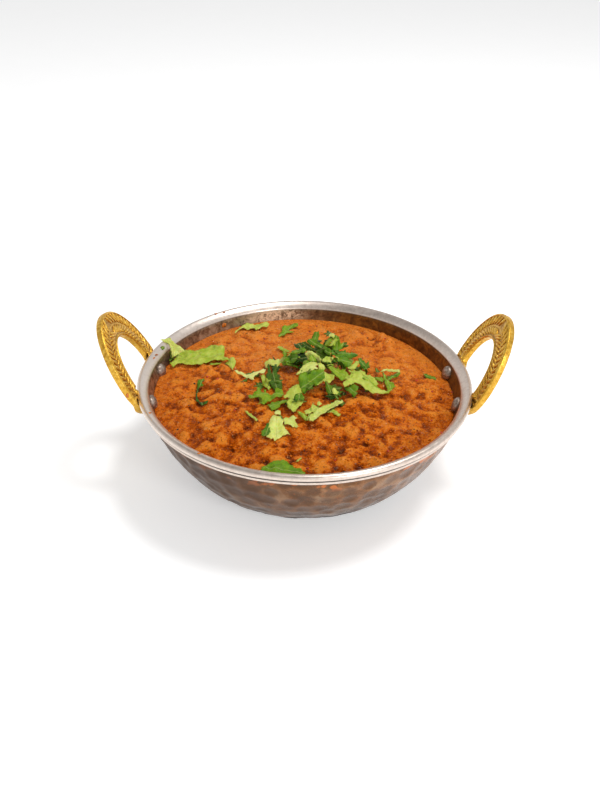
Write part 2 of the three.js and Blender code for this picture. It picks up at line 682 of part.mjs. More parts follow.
const steel = new THREE.MeshStandardMaterial({ color: COLOURS.steel, roughness: 0.32, metalness: 1 });
const copper = new THREE.MeshStandardMaterial({ color: COLOURS.copper, roughness: 0.45, metalness: 0.9 });
const brass = new THREE.MeshStandardMaterial({ color: COLOURS.brass, roughness: 0.35, metalness: 1 });
const sauce = new THREE.MeshStandardMaterial({ color: COLOURS.curry, roughness: 0.3, metalness: 0 });
const leafGreen = new THREE.MeshStandardMaterial({ color: COLOURS.darkLeaf, roughness: 0.5, metalness: 0 });
const leafPale = new THREE.MeshStandardMaterial({ color: COLOURS.lightLeaf, roughness: 0.5, metalness: 0 });

function named(name, manifold, material) {
  const mesh = new THREE.Mesh(geometryOf(manifold), material);
  mesh.name = name;
  return mesh;
}

const bowl = new THREE.Group();
bowl.add(named('copper_jacket', copperJacket().subtract(allRivetHoles()), copper));
bowl.add(named('steel_liner', steelLiner().subtract(allRivetHoles()), steel));
bowl.add(named('handle_right', handle(RIGHT_HANDLE), brass));
bowl.add(named('handle_left', handle(LEFT_HANDLE), brass));
const rivetNames = ['rivet_right_front', 'rivet_right_back', 'rivet_left_back', 'rivet_left_front'];
RIVET_PLACES.forEach((angle, k) => bowl.add(named(rivetNames[k], rivet(angle), steel)));

const food = new THREE.Group();
food.add(named('keema_curry', curry(), sauce));
food.add(named('coriander_heap', corianderHeap(), leafGreen));
Object.keys(LONE_LEAVES).forEach((name) => food.add(named(name, loneLeaf(name), leafPale)));

const model = new THREE.Group();
model.add(bowl, food);

export default model;
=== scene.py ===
# Looks of a served karahi bowl of mutton keema: minced meat curry under chopped coriander, in a
# small steel bowl with a hammered copper jacket and two cast brass loop handles.
# Lengths are millimetres where nothing else is said; every mesh is built in metres, in the CAD's
# own frame.

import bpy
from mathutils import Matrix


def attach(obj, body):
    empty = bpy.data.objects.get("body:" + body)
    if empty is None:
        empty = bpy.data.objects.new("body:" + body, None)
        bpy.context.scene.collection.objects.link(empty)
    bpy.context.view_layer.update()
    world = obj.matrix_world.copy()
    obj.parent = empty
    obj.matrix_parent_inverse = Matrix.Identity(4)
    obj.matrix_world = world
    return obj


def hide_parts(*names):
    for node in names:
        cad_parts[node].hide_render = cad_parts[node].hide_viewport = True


bl_info = {
    "name": "Mutton keema in its karahi bowl",
    "version": (1, 0, 0),
    "blender": (4, 5, 0),
    "location": "View3D > Sidebar > Keema bowl",
    "description": "Builds the looks of a karahi bowl of minced meat curry on its CAD frame",
    "category": "Object",
}

import math

import bpy
import numpy as np
from bpy.props import FloatProperty, FloatVectorProperty, IntProperty, PointerProperty
from mathutils import Matrix, Vector
from mathutils.geometry import delaunay_2d_cdt

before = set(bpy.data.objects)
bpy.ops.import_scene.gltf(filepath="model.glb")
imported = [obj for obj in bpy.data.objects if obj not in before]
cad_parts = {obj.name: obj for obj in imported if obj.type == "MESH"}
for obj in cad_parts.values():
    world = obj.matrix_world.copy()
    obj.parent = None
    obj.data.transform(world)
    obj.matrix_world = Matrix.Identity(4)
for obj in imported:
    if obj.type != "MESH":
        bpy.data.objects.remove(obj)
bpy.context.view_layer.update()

MM = 0.001

# Shape of the bowl, in millimetres, as in the CAD source
BASE_RADIUS = 40.0
WALL_TOP_RADIUS = 77.4
WALL_TOP_Z = 48.0
WALL_BULGE = 1.35
WALL_FLARE = 0.59
COPPER_SHEET = 1.3
STEEL_SHEET = 1.2
GAP = 0.3
COPPER_TOP_Z = 47.4
RIM_RADIUS = 80.0
RIM_TOP_Z = 51.2
BEAD_RADIUS = 1.6
RIM_INNER_RADIUS = 74.8
RIM_INNER_Z = 48.3
HEM_RADIUS = 78.6
HEM_SHEET = 0.85
HEM_BOTTOM_Z = 46.0
LINER_INSET = COPPER_SHEET + GAP
LINER_INNER_INSET = LINER_INSET + STEEL_SHEET

# Shape of the handles: the inner face's place at HANDLE_Z, the lean outward from upright, how
# far the foot stands out past the ring, and the side of the bowl along X
HANDLES = {
    "right": (77.6, math.radians(25.9), 0.4, 1),
    "left": (75.9, math.radians(28.9), 2.1, -1),
}
HANDLE_Z = 48.0
HANDLE_THICKNESS = 3.0
HANDLE_BEVEL = 0.5
OVAL = {"middle": 5.65, "half_width": 24.9, "up": 32.25, "down": 19.0}
HOLE = {"middle": 4.4, "half_width": 15.2, "up": 20.3, "down": 5.5}
FOOT_TOP = -1.5
FOOT_DEPTH = 9.0
PLATE_EYE = 8.0  # height on the plate of the point that the ring's grid fans out from
LINE_PLACE = 0.85  # from a handle's edge to the middle of the raised line along it
FIELD_EDGE = 1.05  # from a handle's edge to the sunk field
PATTERN_SLANT = math.radians(48)  # of the raised leaves, from the middle line of the ring

# Hammer marks and rivets
MARK_ROW_PITCH = 7.2  # between the rows of marks
MARK_DEPTH = 0.28  # at which a mark has its full colour
RIVET_Z = 43.3
RIVET_ANGLE = math.radians(11.3)

# Curry: the medium lumps stand where the CAD's do
CURRY_EDGE_Z = 41.0
CURRY_RADIUS = 72.3
CURRY_MOUND = 3.5
CURRY_BACK_RISE = 1.2
CURRY_RIGHT_FALL = 0.6
LUMP_COUNT = 170
GOLDEN_ANGLE = math.pi * (3 - math.sqrt(5))
LARGE_LUMPS = ((42.5, 45, 7, 2.6), (30, 50, 6.5, 2), (-51, -5, 8, -2.2), (-32, -46, 7, -1.6))
MINCE_LUMPS = (  # x, y, radius, rise of the lumps of mince that show
    (36, 52, 3.4, 2.8), (42, 47, 3.8, 3.4), (47, 41, 3.2, 2.9), (34, 45, 2.8, 2.5),
    (28, 52, 3.2, 2.7), (23, 47, 2.8, 2.3), (51, 35, 2.8, 2.3), (39, 40, 2.4, 2.1),
    (-46, 10, 3.6, 2.9), (-39, 14, 3.2, 2.7), (-50, 17, 3.4, 2.7), (-43, 3, 2.8, 2.5),
    (-34, 8, 2.8, 2.3), (8, -30, 3.0, 2.3), (20, -38, 3.4, 2.5), (30, -30, 3.0, 2.3),
)
NAMED_PITS = (  # x, y, radius, depth of the dark holes that show
    (-54, -19, 1.8, 0.9), (-46, -32, 1.5, 0.8), (-32, -46, 2.2, 1.0), (-48, -50, 1.5, 0.8),
    (26.7, -44.4, 2.4, 1.3), (35, -45.8, 1.3, 0.7), (-50, 0, 2.5, 0.9), (57, -20, 2.0, 0.8),
)

CELL = 0.3  # spacing of the curry's height map
HALF_CELLS = 248  # from the middle of the map to its edge
NOWHERE = -99.0  # height of the ground where there is none

# Fineness of the meshes
LINER_SIDES = 224
COPPER_SIDES, COPPER_STEPS = 420, 58
HANDLE_TURNS, HANDLE_STEPS = 220, 44
CURRY_RINGS = 150
DROP_RINGS, DROP_SIDES = 4, 12
LEAF_SPACING = 0.75  # between the points of a leaf
LEAF_TOOTH = 0.26  # depth of the small teeth along a leaf's edge

# Stage: lights as name, place and size in metres; the camera fitted to the photograph
LIGHTS = (
    ("key_softbox", (0.36, 0.04, 1.15), (0.36, 0.36)),
    ("front_softbox", (0.60, -1.00, 0.66), (0.4, 0.25)),
)
CAMERA_PLACE = (-5.202, -346.564, 262.290)
CAMERA_RIGHT = (0.99987296, -0.00700214, 0.0143192)
CAMERA_UP = (-0.00907979, 0.4881376, 0.87271945)
CAMERA_BACK = (-0.01310064, -0.8727386, 0.48801201)
CAMERA_SHIFT = (-0.00675, -0.0725)
FLOOR_RADIUS = 9000
FLOOR_DROP = 0.02  # keeps the table clear of the bowl's foot

# Coriander as it lies in the photograph. A piece of leaf is its shade, from 0 for the dark upper
# side to 1 for the pale underside, and then the corners of its outline in tenths of a millimetre.
# A group stands for the CAD node of its name.
# These shades also hold painted light and shade: they follow how brightly each piece is lit where
# it lies, and the darkest pieces are painted shade under the others.
LEAVES = {
    "coriander_heap": (
        (0.3, (38, 257, 567), (46, 281, 584), (57, 284, 586), (72, 283, 587), (74, 267, 576),
         (65, 238, 556), (50, 233, 551), (36, 245, 559)),
        (0.3, (10, 229, 560), (33, 237, 573), (50, 228, 573), (70, 208, 568), (95, 186, 564),
         (130, 153, 557), (129, 119, 536), (111, 134, 539), (95, 157, 547), (70, 179, 551),
         (46, 199, 555), (25, 208, 553)),
        (0.6, (97, 245, 533), (109, 257, 548), (120, 263, 560), (135, 266, 573), (144, 252, 575),
         (134, 230, 558), (120, 216, 540), (103, 227, 531)),
        (0.9, (120, 275, 571), (134, 289, 574), (151, 276, 579), (155, 253, 581), (143, 240, 578),
         (132, 253, 575), (123, 255, 573)),
        (0.4, (144, 248, 573), (156, 258, 581), (173, 243, 578), (180, 209, 564), (185, 181, 552),
         (172, 173, 544), (156, 169, 538), (142, 170, 534), (137, 197, 546)),
        (0.5, (181, 216, 555), (199, 245, 550), (195, 215, 544), (184, 189, 545)),
        (0.1, (-54, 285, 520), (-29, 283, 524), (-17, 265, 527), (-5, 224, 531), (-6, 198, 532),
         (-25, 211, 528), (-44, 226, 524), (-52, 249, 522)),
        (0.1, (-25, 267, 533), (6, 250, 547), (19, 233, 545), (33, 214, 543), (47, 194, 539),
         (60, 174, 534), (33, 189, 523), (9, 209, 516), (-6, 239, 528)),
        (0.4, (-74, 179, 515), (-61, 188, 525), (-42, 189, 535), (-21, 185, 545), (2, 172, 553),
         (4, 154, 547), (-7, 151, 541), (-29, 160, 532), (-50, 162, 522), (-72, 169, 513)),
        (0, (-92, 163, 480), (-74, 183, 496), (-50, 185, 509), (-6, 173, 528), (16, 154, 533),
         (14, 109, 517), (-2, 105, 507), (-25, 120, 500), (-50, 121, 487), (-74, 131, 478),
         (-89, 144, 475)),
        (0.2, (-83, 161, 495), (-62, 163, 513), (-38, 147, 530), (-29, 127, 532), (-42, 108, 517),
         (-54, 102, 505), (-72, 115, 492), (-86, 138, 487)),
        (0.1, (58, 177, 535), (95, 173, 538), (130, 138, 525), (115, 126, 517), (82, 129, 515),
         (58, 154, 524)),
        (0.3, (130, 154, 556), (157, 156, 548), (191, 164, 540), (199, 174, 540), (205, 160, 534),
         (228, 163, 528), (232, 174, 530), (241, 165, 525), (242, 175, 528), (252, 166, 522),
         (261, 173, 521), (265, 160, 515), (240, 143, 517), (210, 129, 522), (168, 119, 532),
         (131, 120, 544)),
        (0.4, (131, 121, 532), (169, 125, 529), (206, 126, 524), (231, 122, 520), (238, 108, 515),
         (225, 85, 509), (216, 68, 505), (196, 73, 509), (171, 85, 516), (149, 97, 523)),
        (0.8, (206, 60, 511), (224, 70, 509), (244, 96, 515), (253, 110, 519), (263, 113, 517),
         (268, 104, 510), (258, 85, 504), (245, 63, 498), (223, 52, 500)),
        (0.3, (267, 153, 510), (282, 156, 510), (305, 132, 496), (323, 111, 485), (308, 96, 480),
         (295, 89, 480), (280, 109, 490), (270, 127, 499)),
        (0.8, (81, 61, 540), (89, 81, 546), (106, 98, 549), (124, 99, 545), (131, 88, 539),
         (128, 63, 530), (119, 70, 535), (106, 70, 538), (89, 58, 537)),
        (0.8, (127, 97, 546), (139, 103, 546), (141, 87, 542), (130, 83, 542)),
        (0.9, (2, 113, 561), (20, 114, 574), (40, 100, 575), (58, 82, 571), (72, 66, 566),
         (83, 49, 557), (76, 44, 547), (60, 56, 548), (48, 71, 553), (35, 89, 561), (23, 97, 561),
         (16, 88, 547), (23, 76, 540), (13, 83, 540), (6, 99, 550)),
        (0.5, (17, 64, 559), (25, 87, 565), (35, 87, 563), (49, 65, 555), (59, 51, 549),
         (43, 45, 550), (25, 37, 550)),
        (0.5, (-7, 65, 532), (13, 72, 542), (25, 40, 548), (7, 31, 539), (-9, 20, 531),
         (-22, 3, 525), (-17, 43, 527)),
        (0.9, (-43, -47, 532), (-25, -25, 542), (-8, -1, 553), (15, 17, 562), (43, 23, 566),
         (58, 14, 564), (62, -2, 559), (46, -10, 554), (63, -25, 550), (30, -32, 544),
         (6, -33, 542), (-21, -40, 537), (-37, -51, 531)),
        (0.4, (-30, -55, 530), (-22, -43, 538), (4, -36, 544), (63, -28, 552), (90, -32, 550),
         (95, -58, 533), (89, -72, 523), (66, -83, 515), (54, -99, 504), (42, -89, 510),
         (33, -99, 503), (22, -107, 497), (7, -123, 485), (-3, -136, 476), (-13, -124, 484),
         (-26, -97, 502), (-31, -73, 518)),
        (0.8, (60, 31, 554), (79, 27, 550), (98, 10, 540), (91, -11, 532), (103, -18, 528),
         (127, -21, 523), (142, -36, 515), (137, -49, 510), (126, -58, 508), (116, -75, 502),
         (102, -59, 511), (90, -62, 511), (74, -81, 505), (55, -95, 502), (64, -74, 510),
         (83, -57, 514), (74, -23, 530), (63, 3, 542)),
        (0.5, (106, 6, 540), (124, 19, 539), (141, 24, 536), (164, 22, 528), (190, 19, 520),
         (204, 8, 512), (210, -11, 504), (192, -36, 501), (179, -50, 500), (158, -38, 510),
         (132, -16, 525)),
        (0.8, (176, -102, 514), (187, -72, 515), (209, -40, 514), (223, -3, 515), (250, 16, 510),
         (258, 26, 509), (276, 50, 508), (285, 39, 504), (296, 40, 502), (304, 20, 497),
         (316, 18, 493), (338, -5, 484), (353, -39, 476), (343, -50, 477), (363, -72, 469),
         (385, -80, 462), (396, -84, 458), (380, -96, 461), (347, -105, 468), (332, -104, 472),
         (321, -120, 473), (307, -107, 478), (284, -86, 487), (262, -65, 496), (238, -59, 503),
         (221, -84, 504), (203, -103, 506), (185, -117, 509)),
        (0.6, (269, 10, 512), (283, 4, 509), (308, -26, 497), (334, -53, 486), (361, -80, 474),
         (348, -88, 473), (321, -70, 482), (291, -39, 495), (272, -16, 504)),
        (0.3, (185, -94, 495), (205, -88, 497), (216, -80, 502), (236, -79, 501), (254, -88, 495),
         (252, -101, 487), (239, -113, 480), (249, -120, 475), (241, -128, 471), (231, -140, 464),
         (224, -128, 472), (208, -115, 481), (193, -105, 488)),
        (0.2, (96, -60, 510), (109, -79, 504), (130, -95, 500), (133, -112, 493), (127, -133, 482),
         (105, -130, 480), (98, -103, 491)),
        (0.8, (128, -115, 497), (135, -107, 500), (149, -116, 494), (159, -131, 486),
         (151, -142, 482), (137, -142, 484), (129, -132, 489)),
        (0.3, (135, -139, 482), (150, -145, 484), (159, -164, 468), (147, -156, 469),
         (138, -145, 476)),
        (0.8, (-102, -170, 485), (-88, -142, 490), (-69, -107, 496), (-49, -88, 498),
         (-29, -84, 498), (-20, -97, 495), (-15, -130, 488), (-6, -162, 481), (-7, -187, 475),
         (-16, -210, 471), (-36, -237, 466), (-52, -261, 462), (-64, -255, 464), (-79, -231, 470),
         (-84, -204, 476), (-71, -172, 482), (-80, -161, 485), (-94, -175, 484)),
        (0.3, (-50, -187, 484), (-47, -161, 490), (-33, -146, 495), (-15, -145, 496),
         (-8, -174, 490), (-8, -195, 485), (-25, -191, 485), (-41, -198, 482)),
        (0.4, (-176, -209, 460), (-164, -191, 462), (-149, -178, 465), (-126, -173, 467),
         (-110, -178, 467), (-102, -165, 469), (-90, -158, 470), (-80, -168, 470),
         (-86, -192, 467), (-109, -195, 466), (-117, -219, 463), (-136, -230, 460),
         (-155, -242, 458), (-163, -225, 459)),
        (0.5, (-270, -122, 459), (-252, -113, 460), (-234, -98, 462), (-226, -92, 463),
         (-232, -49, 462), (-221, -52, 463), (-207, -94, 464), (-192, -103, 465), (-195, -81, 465),
         (-184, -80, 466), (-185, -112, 466), (-158, -127, 468), (-139, -108, 469),
         (-144, -80, 469), (-128, -74, 470), (-108, -88, 472), (-100, -121, 472),
         (-110, -148, 471), (-142, -159, 469), (-165, -170, 467), (-177, -178, 466),
         (-190, -201, 465), (-206, -195, 464), (-201, -159, 464), (-217, -138, 463),
         (-243, -154, 461), (-259, -145, 460)),
        (0.1, (-191, 32, 480), (-184, 59, 488), (-183, 93, 496), (-175, 102, 499), (-169, 67, 492),
         (-160, 37, 486), (-154, 70, 495), (-146, 104, 504), (-141, 103, 505), (-135, 78, 500),
         (-138, 50, 493), (-128, 20, 488), (-112, -32, 478), (-105, -78, 468), (-119, -85, 464),
         (-144, -76, 462), (-162, -45, 466), (-175, -16, 472), (-186, 11, 476)),
        (0.7, (-218, 54, 470), (-200, 56, 472), (-186, 7, 467), (-175, -31, 462), (-165, -51, 460),
         (-172, -63, 458), (-186, -49, 458), (-198, -34, 459), (-208, 4, 464)),
        (1, (-349, 89, 460), (-333, 91, 462), (-295, 70, 464), (-266, 61, 467), (-242, 70, 471),
         (-222, 83, 476), (-202, 93, 480), (-190, 76, 479), (-199, 55, 475), (-221, 58, 473),
         (-241, 42, 468), (-252, 31, 465), (-244, 15, 463), (-256, 19, 462), (-294, 50, 462),
         (-333, 73, 460)),
        (0.9, (-203, 161, 470), (-188, 171, 476), (-170, 179, 482), (-150, 174, 486),
         (-125, 168, 490), (-99, 179, 499), (-74, 187, 507), (-71, 172, 504), (-91, 153, 494),
         (-105, 153, 491), (-116, 142, 485), (-132, 124, 476), (-141, 115, 472), (-151, 129, 473),
         (-157, 114, 468), (-166, 134, 471), (-182, 148, 471), (-190, 129, 464), (-197, 139, 465)),
        (0.5, (-116, 142, 486), (-105, 150, 492), (-89, 144, 490), (-66, 138, 489),
         (-74, 128, 482), (-95, 125, 478), (-110, 130, 479)),
    ),
    "coriander_fan_leaf": (
        (1, (-142, -266, 461), (-128, -242, 458), (-112, -248, 455), (-113, -270, 456),
         (-124, -268, 458), (-133, -276, 459)),
        (0.9, (-150, -289, 459), (-142, -268, 459), (-133, -276, 458), (-122, -277, 456),
         (-111, -295, 454), (-100, -314, 452), (-101, -339, 448), (-88, -369, 446),
         (-76, -395, 447), (-66, -416, 443), (-83, -419, 448), (-102, -426, 450),
         (-112, -445, 449), (-124, -450, 449), (-134, -463, 446), (-142, -450, 449),
         (-149, -455, 448), (-164, -445, 447), (-174, -432, 446), (-169, -397, 448),
         (-167, -359, 453), (-161, -318, 456)),
        (0.3, (-159, -310, 455), (-150, -286, 457), (-153, -325, 452), (-158, -355, 450),
         (-148, -352, 448), (-132, -325, 447), (-138, -312, 452), (-143, -339, 448),
         (-159, -375, 446), (-154, -411, 448), (-168, -432, 445), (-191, -430, 442),
         (-196, -393, 443), (-181, -376, 446), (-174, -353, 453), (-165, -328, 454)),
        (0.9, (-100, -317, 454), (-86, -298, 457), (-62, -287, 458), (-47, -292, 459),
         (-37, -306, 457), (-48, -315, 454), (-37, -341, 454), (-29, -363, 454), (-40, -367, 454),
         (-48, -353, 453), (-55, -362, 453), (-69, -347, 451), (-92, -346, 447)),
        (0.2, (-122, -271, 452), (-113, -264, 451), (-100, -297, 450), (-99, -310, 449),
         (-110, -297, 450)),
    ),
    "coriander_rolled_leaf": (
        (0.9, (15, -316, 461), (20, -292, 467), (32, -273, 468), (52, -245, 463), (76, -216, 460),
         (107, -203, 468), (142, -176, 469), (175, -170, 468), (178, -181, 467), (149, -218, 465),
         (121, -228, 462), (86, -258, 458), (63, -284, 457), (39, -311, 457), (22, -334, 460)),
        (0.8, (-7, -261, 468), (16, -243, 466), (34, -208, 462), (65, -193, 460), (76, -211, 457),
         (52, -235, 457), (32, -265, 463), (19, -280, 463), (5, -276, 465)),
        (0.6, (-37, -241, 459), (-20, -249, 461), (-5, -269, 460), (9, -290, 455), (14, -308, 450),
         (2, -313, 449), (-13, -296, 455), (-25, -275, 459)),
        (0.6, (4, -321, 460), (14, -290, 466), (23, -248, 469), (39, -177, 467), (41, -183, 466),
         (29, -246, 468), (20, -289, 465), (14, -318, 459)),
        (0.8, (55, -200, 461), (63, -171, 465), (72, -181, 464), (78, -194, 462), (68, -204, 460)),
        (0.7, (97, -231, 445), (106, -225, 449), (126, -219, 451), (142, -228, 447),
         (164, -247, 443), (159, -261, 442), (141, -253, 443), (122, -232, 444), (104, -237, 445)),
        (0.1, (87, -233, 444), (122, -210, 452), (146, -204, 453), (118, -227, 447),
         (95, -239, 444)),
    ),
    "coriander_thin_sliver": (
        (0.8, (-281, -228, 444), (-266, -234, 444), (-248, -251, 443), (-230, -287, 452),
         (-217, -312, 454), (-216, -327, 454), (-226, -322, 453), (-236, -295, 451),
         (-254, -260, 443), (-271, -243, 443)),
    ),
    "coriander_stem_bit": (
        (0.7, (-143, 345, 462), (-132, 348, 463), (-97, 322, 463), (-74, 298, 462),
         (-87, 289, 463), (-116, 306, 461), (-139, 329, 462)),
    ),
    "coriander_back_leaf": (
        (0.5, (-138, 472, 460), (-128, 531, 448), (-117, 547, 448), (-122, 579, 448),
         (-111, 604, 448), (-91, 603, 444), (-85, 628, 440), (-60, 633, 438), (-33, 633, 439),
         (-35, 602, 440), (-60, 592, 440), (-83, 569, 445), (-55, 533, 444), (-90, 536, 446),
         (-99, 528, 447), (-103, 475, 455)),
    ),
    "coriander_back_strip": (
        (0.8, (-377, 516, 450), (-358, 555, 450), (-347, 596, 443), (-336, 642, 436),
         (-314, 645, 436), (-287, 635, 437), (-267, 619, 442), (-241, 619, 448), (-225, 633, 449),
         (-202, 627, 451), (-190, 603, 452), (-206, 582, 452), (-228, 581, 450), (-243, 574, 448),
         (-258, 546, 453), (-280, 586, 443), (-305, 563, 449), (-336, 564, 450), (-350, 547, 451),
         (-370, 510, 450)),
    ),
    "coriander_rim_leaf": (
        (0.9, (-741, 300, 520), (-720, 311, 523), (-694, 320, 523), (-678, 305, 513),
         (-651, 287, 498), (-625, 273, 486), (-610, 263, 478), (-634, 253, 475), (-649, 239, 470),
         (-660, 226, 464), (-672, 222, 463), (-679, 252, 482), (-688, 277, 498), (-702, 292, 509),
         (-721, 297, 514)),
        (0.3, (-667, 274, 438), (-672, 246, 440), (-685, 225, 439), (-692, 242, 440),
         (-686, 265, 440), (-703, 282, 439), (-686, 294, 436)),
        (0.7, (-658, 286, 442), (-643, 311, 443), (-617, 320, 445), (-584, 312, 451),
         (-544, 306, 458), (-516, 316, 458), (-502, 374, 448), (-483, 380, 451), (-452, 367, 456),
         (-415, 343, 463), (-414, 305, 455), (-410, 237, 463), (-391, 214, 467), (-375, 196, 465),
         (-409, 189, 463), (-438, 200, 462), (-476, 203, 458), (-513, 184, 457), (-560, 180, 448),
         (-593, 177, 446), (-608, 184, 448), (-623, 196, 449), (-650, 181, 447), (-661, 171, 443),
         (-681, 187, 443), (-670, 205, 446), (-659, 234, 448)),
        (0.6, (-481, 182, 450), (-447, 194, 452), (-418, 199, 453), (-427, 183, 453),
         (-450, 172, 452), (-469, 173, 451)),
    ),
    "coriander_rim_crumb": (
        (0.8, (-373, 249, 461), (-356, 218, 461), (-346, 188, 456), (-350, 162, 450),
         (-361, 133, 450), (-378, 158, 452), (-403, 191, 454), (-387, 201, 457), (-383, 230, 459)),
    ),
    "coriander_curled_sliver": (
        (0.3, (-524, 32, 448), (-513, 40, 449), (-497, 51, 450), (-490, 41, 448), (-499, 30, 447),
         (-504, 18, 445), (-492, 6, 441), (-500, -3, 435), (-510, 2, 438), (-514, -12, 432),
         (-522, -8, 432)),
        (0.1, (-515, -6, 433), (-514, -48, 430), (-513, -88, 431), (-505, -129, 444),
         (-494, -143, 442), (-477, -153, 443), (-454, -150, 447), (-459, -169, 441),
         (-475, -175, 439), (-493, -170, 440), (-506, -155, 445), (-517, -122, 444),
         (-522, -54, 429), (-522, -7, 433)),
    ),
    "coriander_front_leaf": (
        (0.4, (-191, -647, 426), (-183, -633, 427), (-166, -618, 429), (-161, -605, 431),
         (-141, -594, 435), (-123, -587, 436), (-101, -583, 435), (-79, -590, 433),
         (-60, -607, 429), (-42, -628, 430), (-20, -642, 429), (-2, -656, 427), (-5, -676, 424),
         (-31, -693, 420), (-70, -703, 418), (-113, -701, 417), (-149, -687, 418),
         (-175, -662, 421)),
    ),
    "coriander_right_leaf": (
        (0.4, (599, 150, 425), (614, 144, 425), (638, 130, 425), (656, 117, 425), (657, 90, 426),
         (642, 97, 427), (617, 101, 426), (606, 118, 426)),
    ),
    "coriander_loop_leaf": (
        (0.1, (354, 147, 458), (364, 141, 456), (377, 115, 458), (367, 98, 460), (355, 106, 459)),
        (0.9, (373, 82, 476), (392, 97, 483), (423, 96, 482), (468, 95, 480), (472, 78, 472),
         (456, 81, 474), (431, 86, 477), (401, 90, 480), (385, 81, 476)),
        (0.4, (475, 136, 449), (478, 108, 449), (464, 86, 445), (439, 66, 452), (415, 42, 455),
         (406, 66, 457), (428, 81, 455), (457, 110, 445)),
        (0.5, (385, 115, 455), (393, 99, 456), (404, 71, 456), (408, 43, 455), (423, 19, 456),
         (441, -26, 457), (420, -38, 457), (399, -50, 454), (394, -29, 456), (391, 10, 456),
         (390, 48, 457), (387, 80, 458)),
        (0.4, (340, 62, 458), (357, 60, 458), (378, 55, 456), (389, 45, 454), (382, 19, 455),
         (363, 21, 456), (347, 39, 458)),
        (0.6, (377, -60, 446), (399, -50, 448), (430, -34, 451), (416, -50, 449), (402, -68, 446),
         (380, -72, 444), (356, -66, 442), (361, -56, 443)),
    ),
    "loose_crumbs": (
        (0.8, (-44, -579, 420), (-31, -564, 422), (-15, -549, 423), (-19, -561, 422),
         (-31, -576, 421)),
        (0.3, (-733, 247, 433), (-725, 261, 434), (-714, 269, 434), (-713, 248, 434),
         (-722, 238, 433)),
    ),
}

DROP_HEIGHT = 0.3  # of a drop of sauce, as a share of its smaller radius
DROP_DEPTH = 0.12  # how far a drop reaches into what it lies on

# Dried drops of sauce: place, radii in millimetres and the direction that they face
SAUCE_SPOTS = (
    ((-74.4, 18.0, 50.2), (1.5, 1.0), (0, 0, 1)),
    ((-75.0, 15.1, 50.2), (0.8, 0.8), (0, 0, 1)),
    ((-48.3, 61.7, 51.1), (1.1, 0.8), (0, 0, 1)),
    ((-44.0, 63.9, 51.0), (1.0, 0.7), (0, 0, 1)),
    ((-43.8, 59.7, 45.3), (1.7, 1.4), (0.6, -0.8, 0.2)),
    ((-69.5, -34.7, 50.9), (1.1, 0.8), (0, 0, 1)),
    ((-44.4, -64.5, 51.1), (0.9, 0.6), (0, 0, 1)),
    ((-80.8, -24.8, 53.8), (0.8, 1.5), (0, -1, 0)),
)


# Small helpers

def linear(hex_colour):
    """Linear red, green, blue and alpha of an sRGB hex value."""
    channels = [int(hex_colour[i:i + 2], 16) / 255 for i in (1, 3, 5)]
    curve = [c / 12.92 if c <= 0.04045 else ((c + 0.055) / 1.055) ** 2.4 for c in channels]
    return (*curve, 1.0)


def feed(tree, node, inputs):
    """Gives a node's inputs plain values, or links them to sockets or to other nodes' results."""
    for key, value in inputs.items():
        if isinstance(value, bpy.types.Node):
            value = next(socket for socket in value.outputs if socket.enabled)
        if isinstance(value, bpy.types.NodeSocket):
            tree.links.new(value, node.inputs[key])
        else:
            node.inputs[key].default_value = value


def add(tree, kind, inputs=None, **settings):
    """Adds a node with its settings and what feeds its inputs."""
    node = tree.nodes.new(kind)
    for name, value in settings.items():
        setattr(node, name, value)
    feed(tree, node, inputs or {})
    return node


def ramp(tree, value, *stops):
    """A colour that follows a value through stops, each a place and a colour."""
    node = add(tree, "ShaderNodeValToRGB", {"Fac": value})
    elements = node.color_ramp.elements
    elements.remove(elements[1])
    elements[0].position = stops[0][0]
    for place, colour in stops[1:]:
        elements.new(place)
    for element, (place, colour) in zip(elements, stops):
        element.color = linear(colour) if isinstance(colour, str) else colour
    return node.outputs["Color"]


def smooth_steps(t):
    """0 to 1 with a soft start and end."""
    return t * t * (3 - 2 * t)


def between_four(grid, rows, columns, u, v):
    """The grid between two rows and two columns, at shares u and v of the way."""
    near, far = (grid[rows[0], column] * (1 - u) + grid[rows[1], column] * u for column in columns)
    return near * (1 - v) + far * v


def value_noise(x, y, seed):
    """Smooth repeatable noise from -1 to 1, one cell to a unit."""
    table = np.random.default_rng(seed).uniform(-1, 1, (256, 256))
    i, j = np.floor(x).astype(int), np.floor(y).astype(int)
    u, v = smooth_steps(x - i), smooth_steps(y - j)
    i, j, k, m = i % 256, j % 256, (i + 1) % 256, (j + 1) % 256
    return between_four(table, (i, k), (j, m), u, v)


def fractal(x, y, seed, octaves=3, gain=0.5):
    """Noise of several sizes on top of each other."""
    total, size = np.zeros(np.shape(x)), 1.0
    for octave in range(octaves):
        total += size * value_noise(x * 2 ** octave, y * 2 ** octave, seed + octave)
        size *= gain
    return total


def scatter(i, salt):
    """The CAD source's repeatable value from 0 to 1 for item i."""
    wave = math.sin(i * 127.1 + salt * 311.7) * 43758.5453
    return wave - math.floor(wave)


def make_object(name, points, faces=(), material=None, attributes=None, smooth=True):
    """A mesh object at the origin from points in millimetres."""
    mesh = bpy.data.meshes.new(name)
    mesh.from_pydata(np.asarray(points, float) * MM, [], faces)
    mesh.validate()
    for label, values in (attributes or {}).items():
        values = np.asarray(values, np.float32)
        kind, field = ("FLOAT", "value") if values.ndim == 1 else ("FLOAT_VECTOR", "vector")
        mesh.attributes.new(label, kind, "POINT").data.foreach_set(field, values.ravel())
    mesh.polygons.foreach_set("use_smooth", [smooth] * len(mesh.polygons))
    if material:
        mesh.materials.append(material)
    mesh.update()
    obj = bpy.data.objects.new(name, mesh)
    bpy.context.scene.collection.objects.link(obj)
    return obj


def finish_piece(obj, slot, *nodes):
    """The piece rides on the part and stands for these nodes; the slot is not used."""
    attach(obj, "root")
    if nodes:
        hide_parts(*nodes)


def circle(sides):
    """Even angles round a full turn."""
    return np.arange(sides) * 2 * math.pi / sides


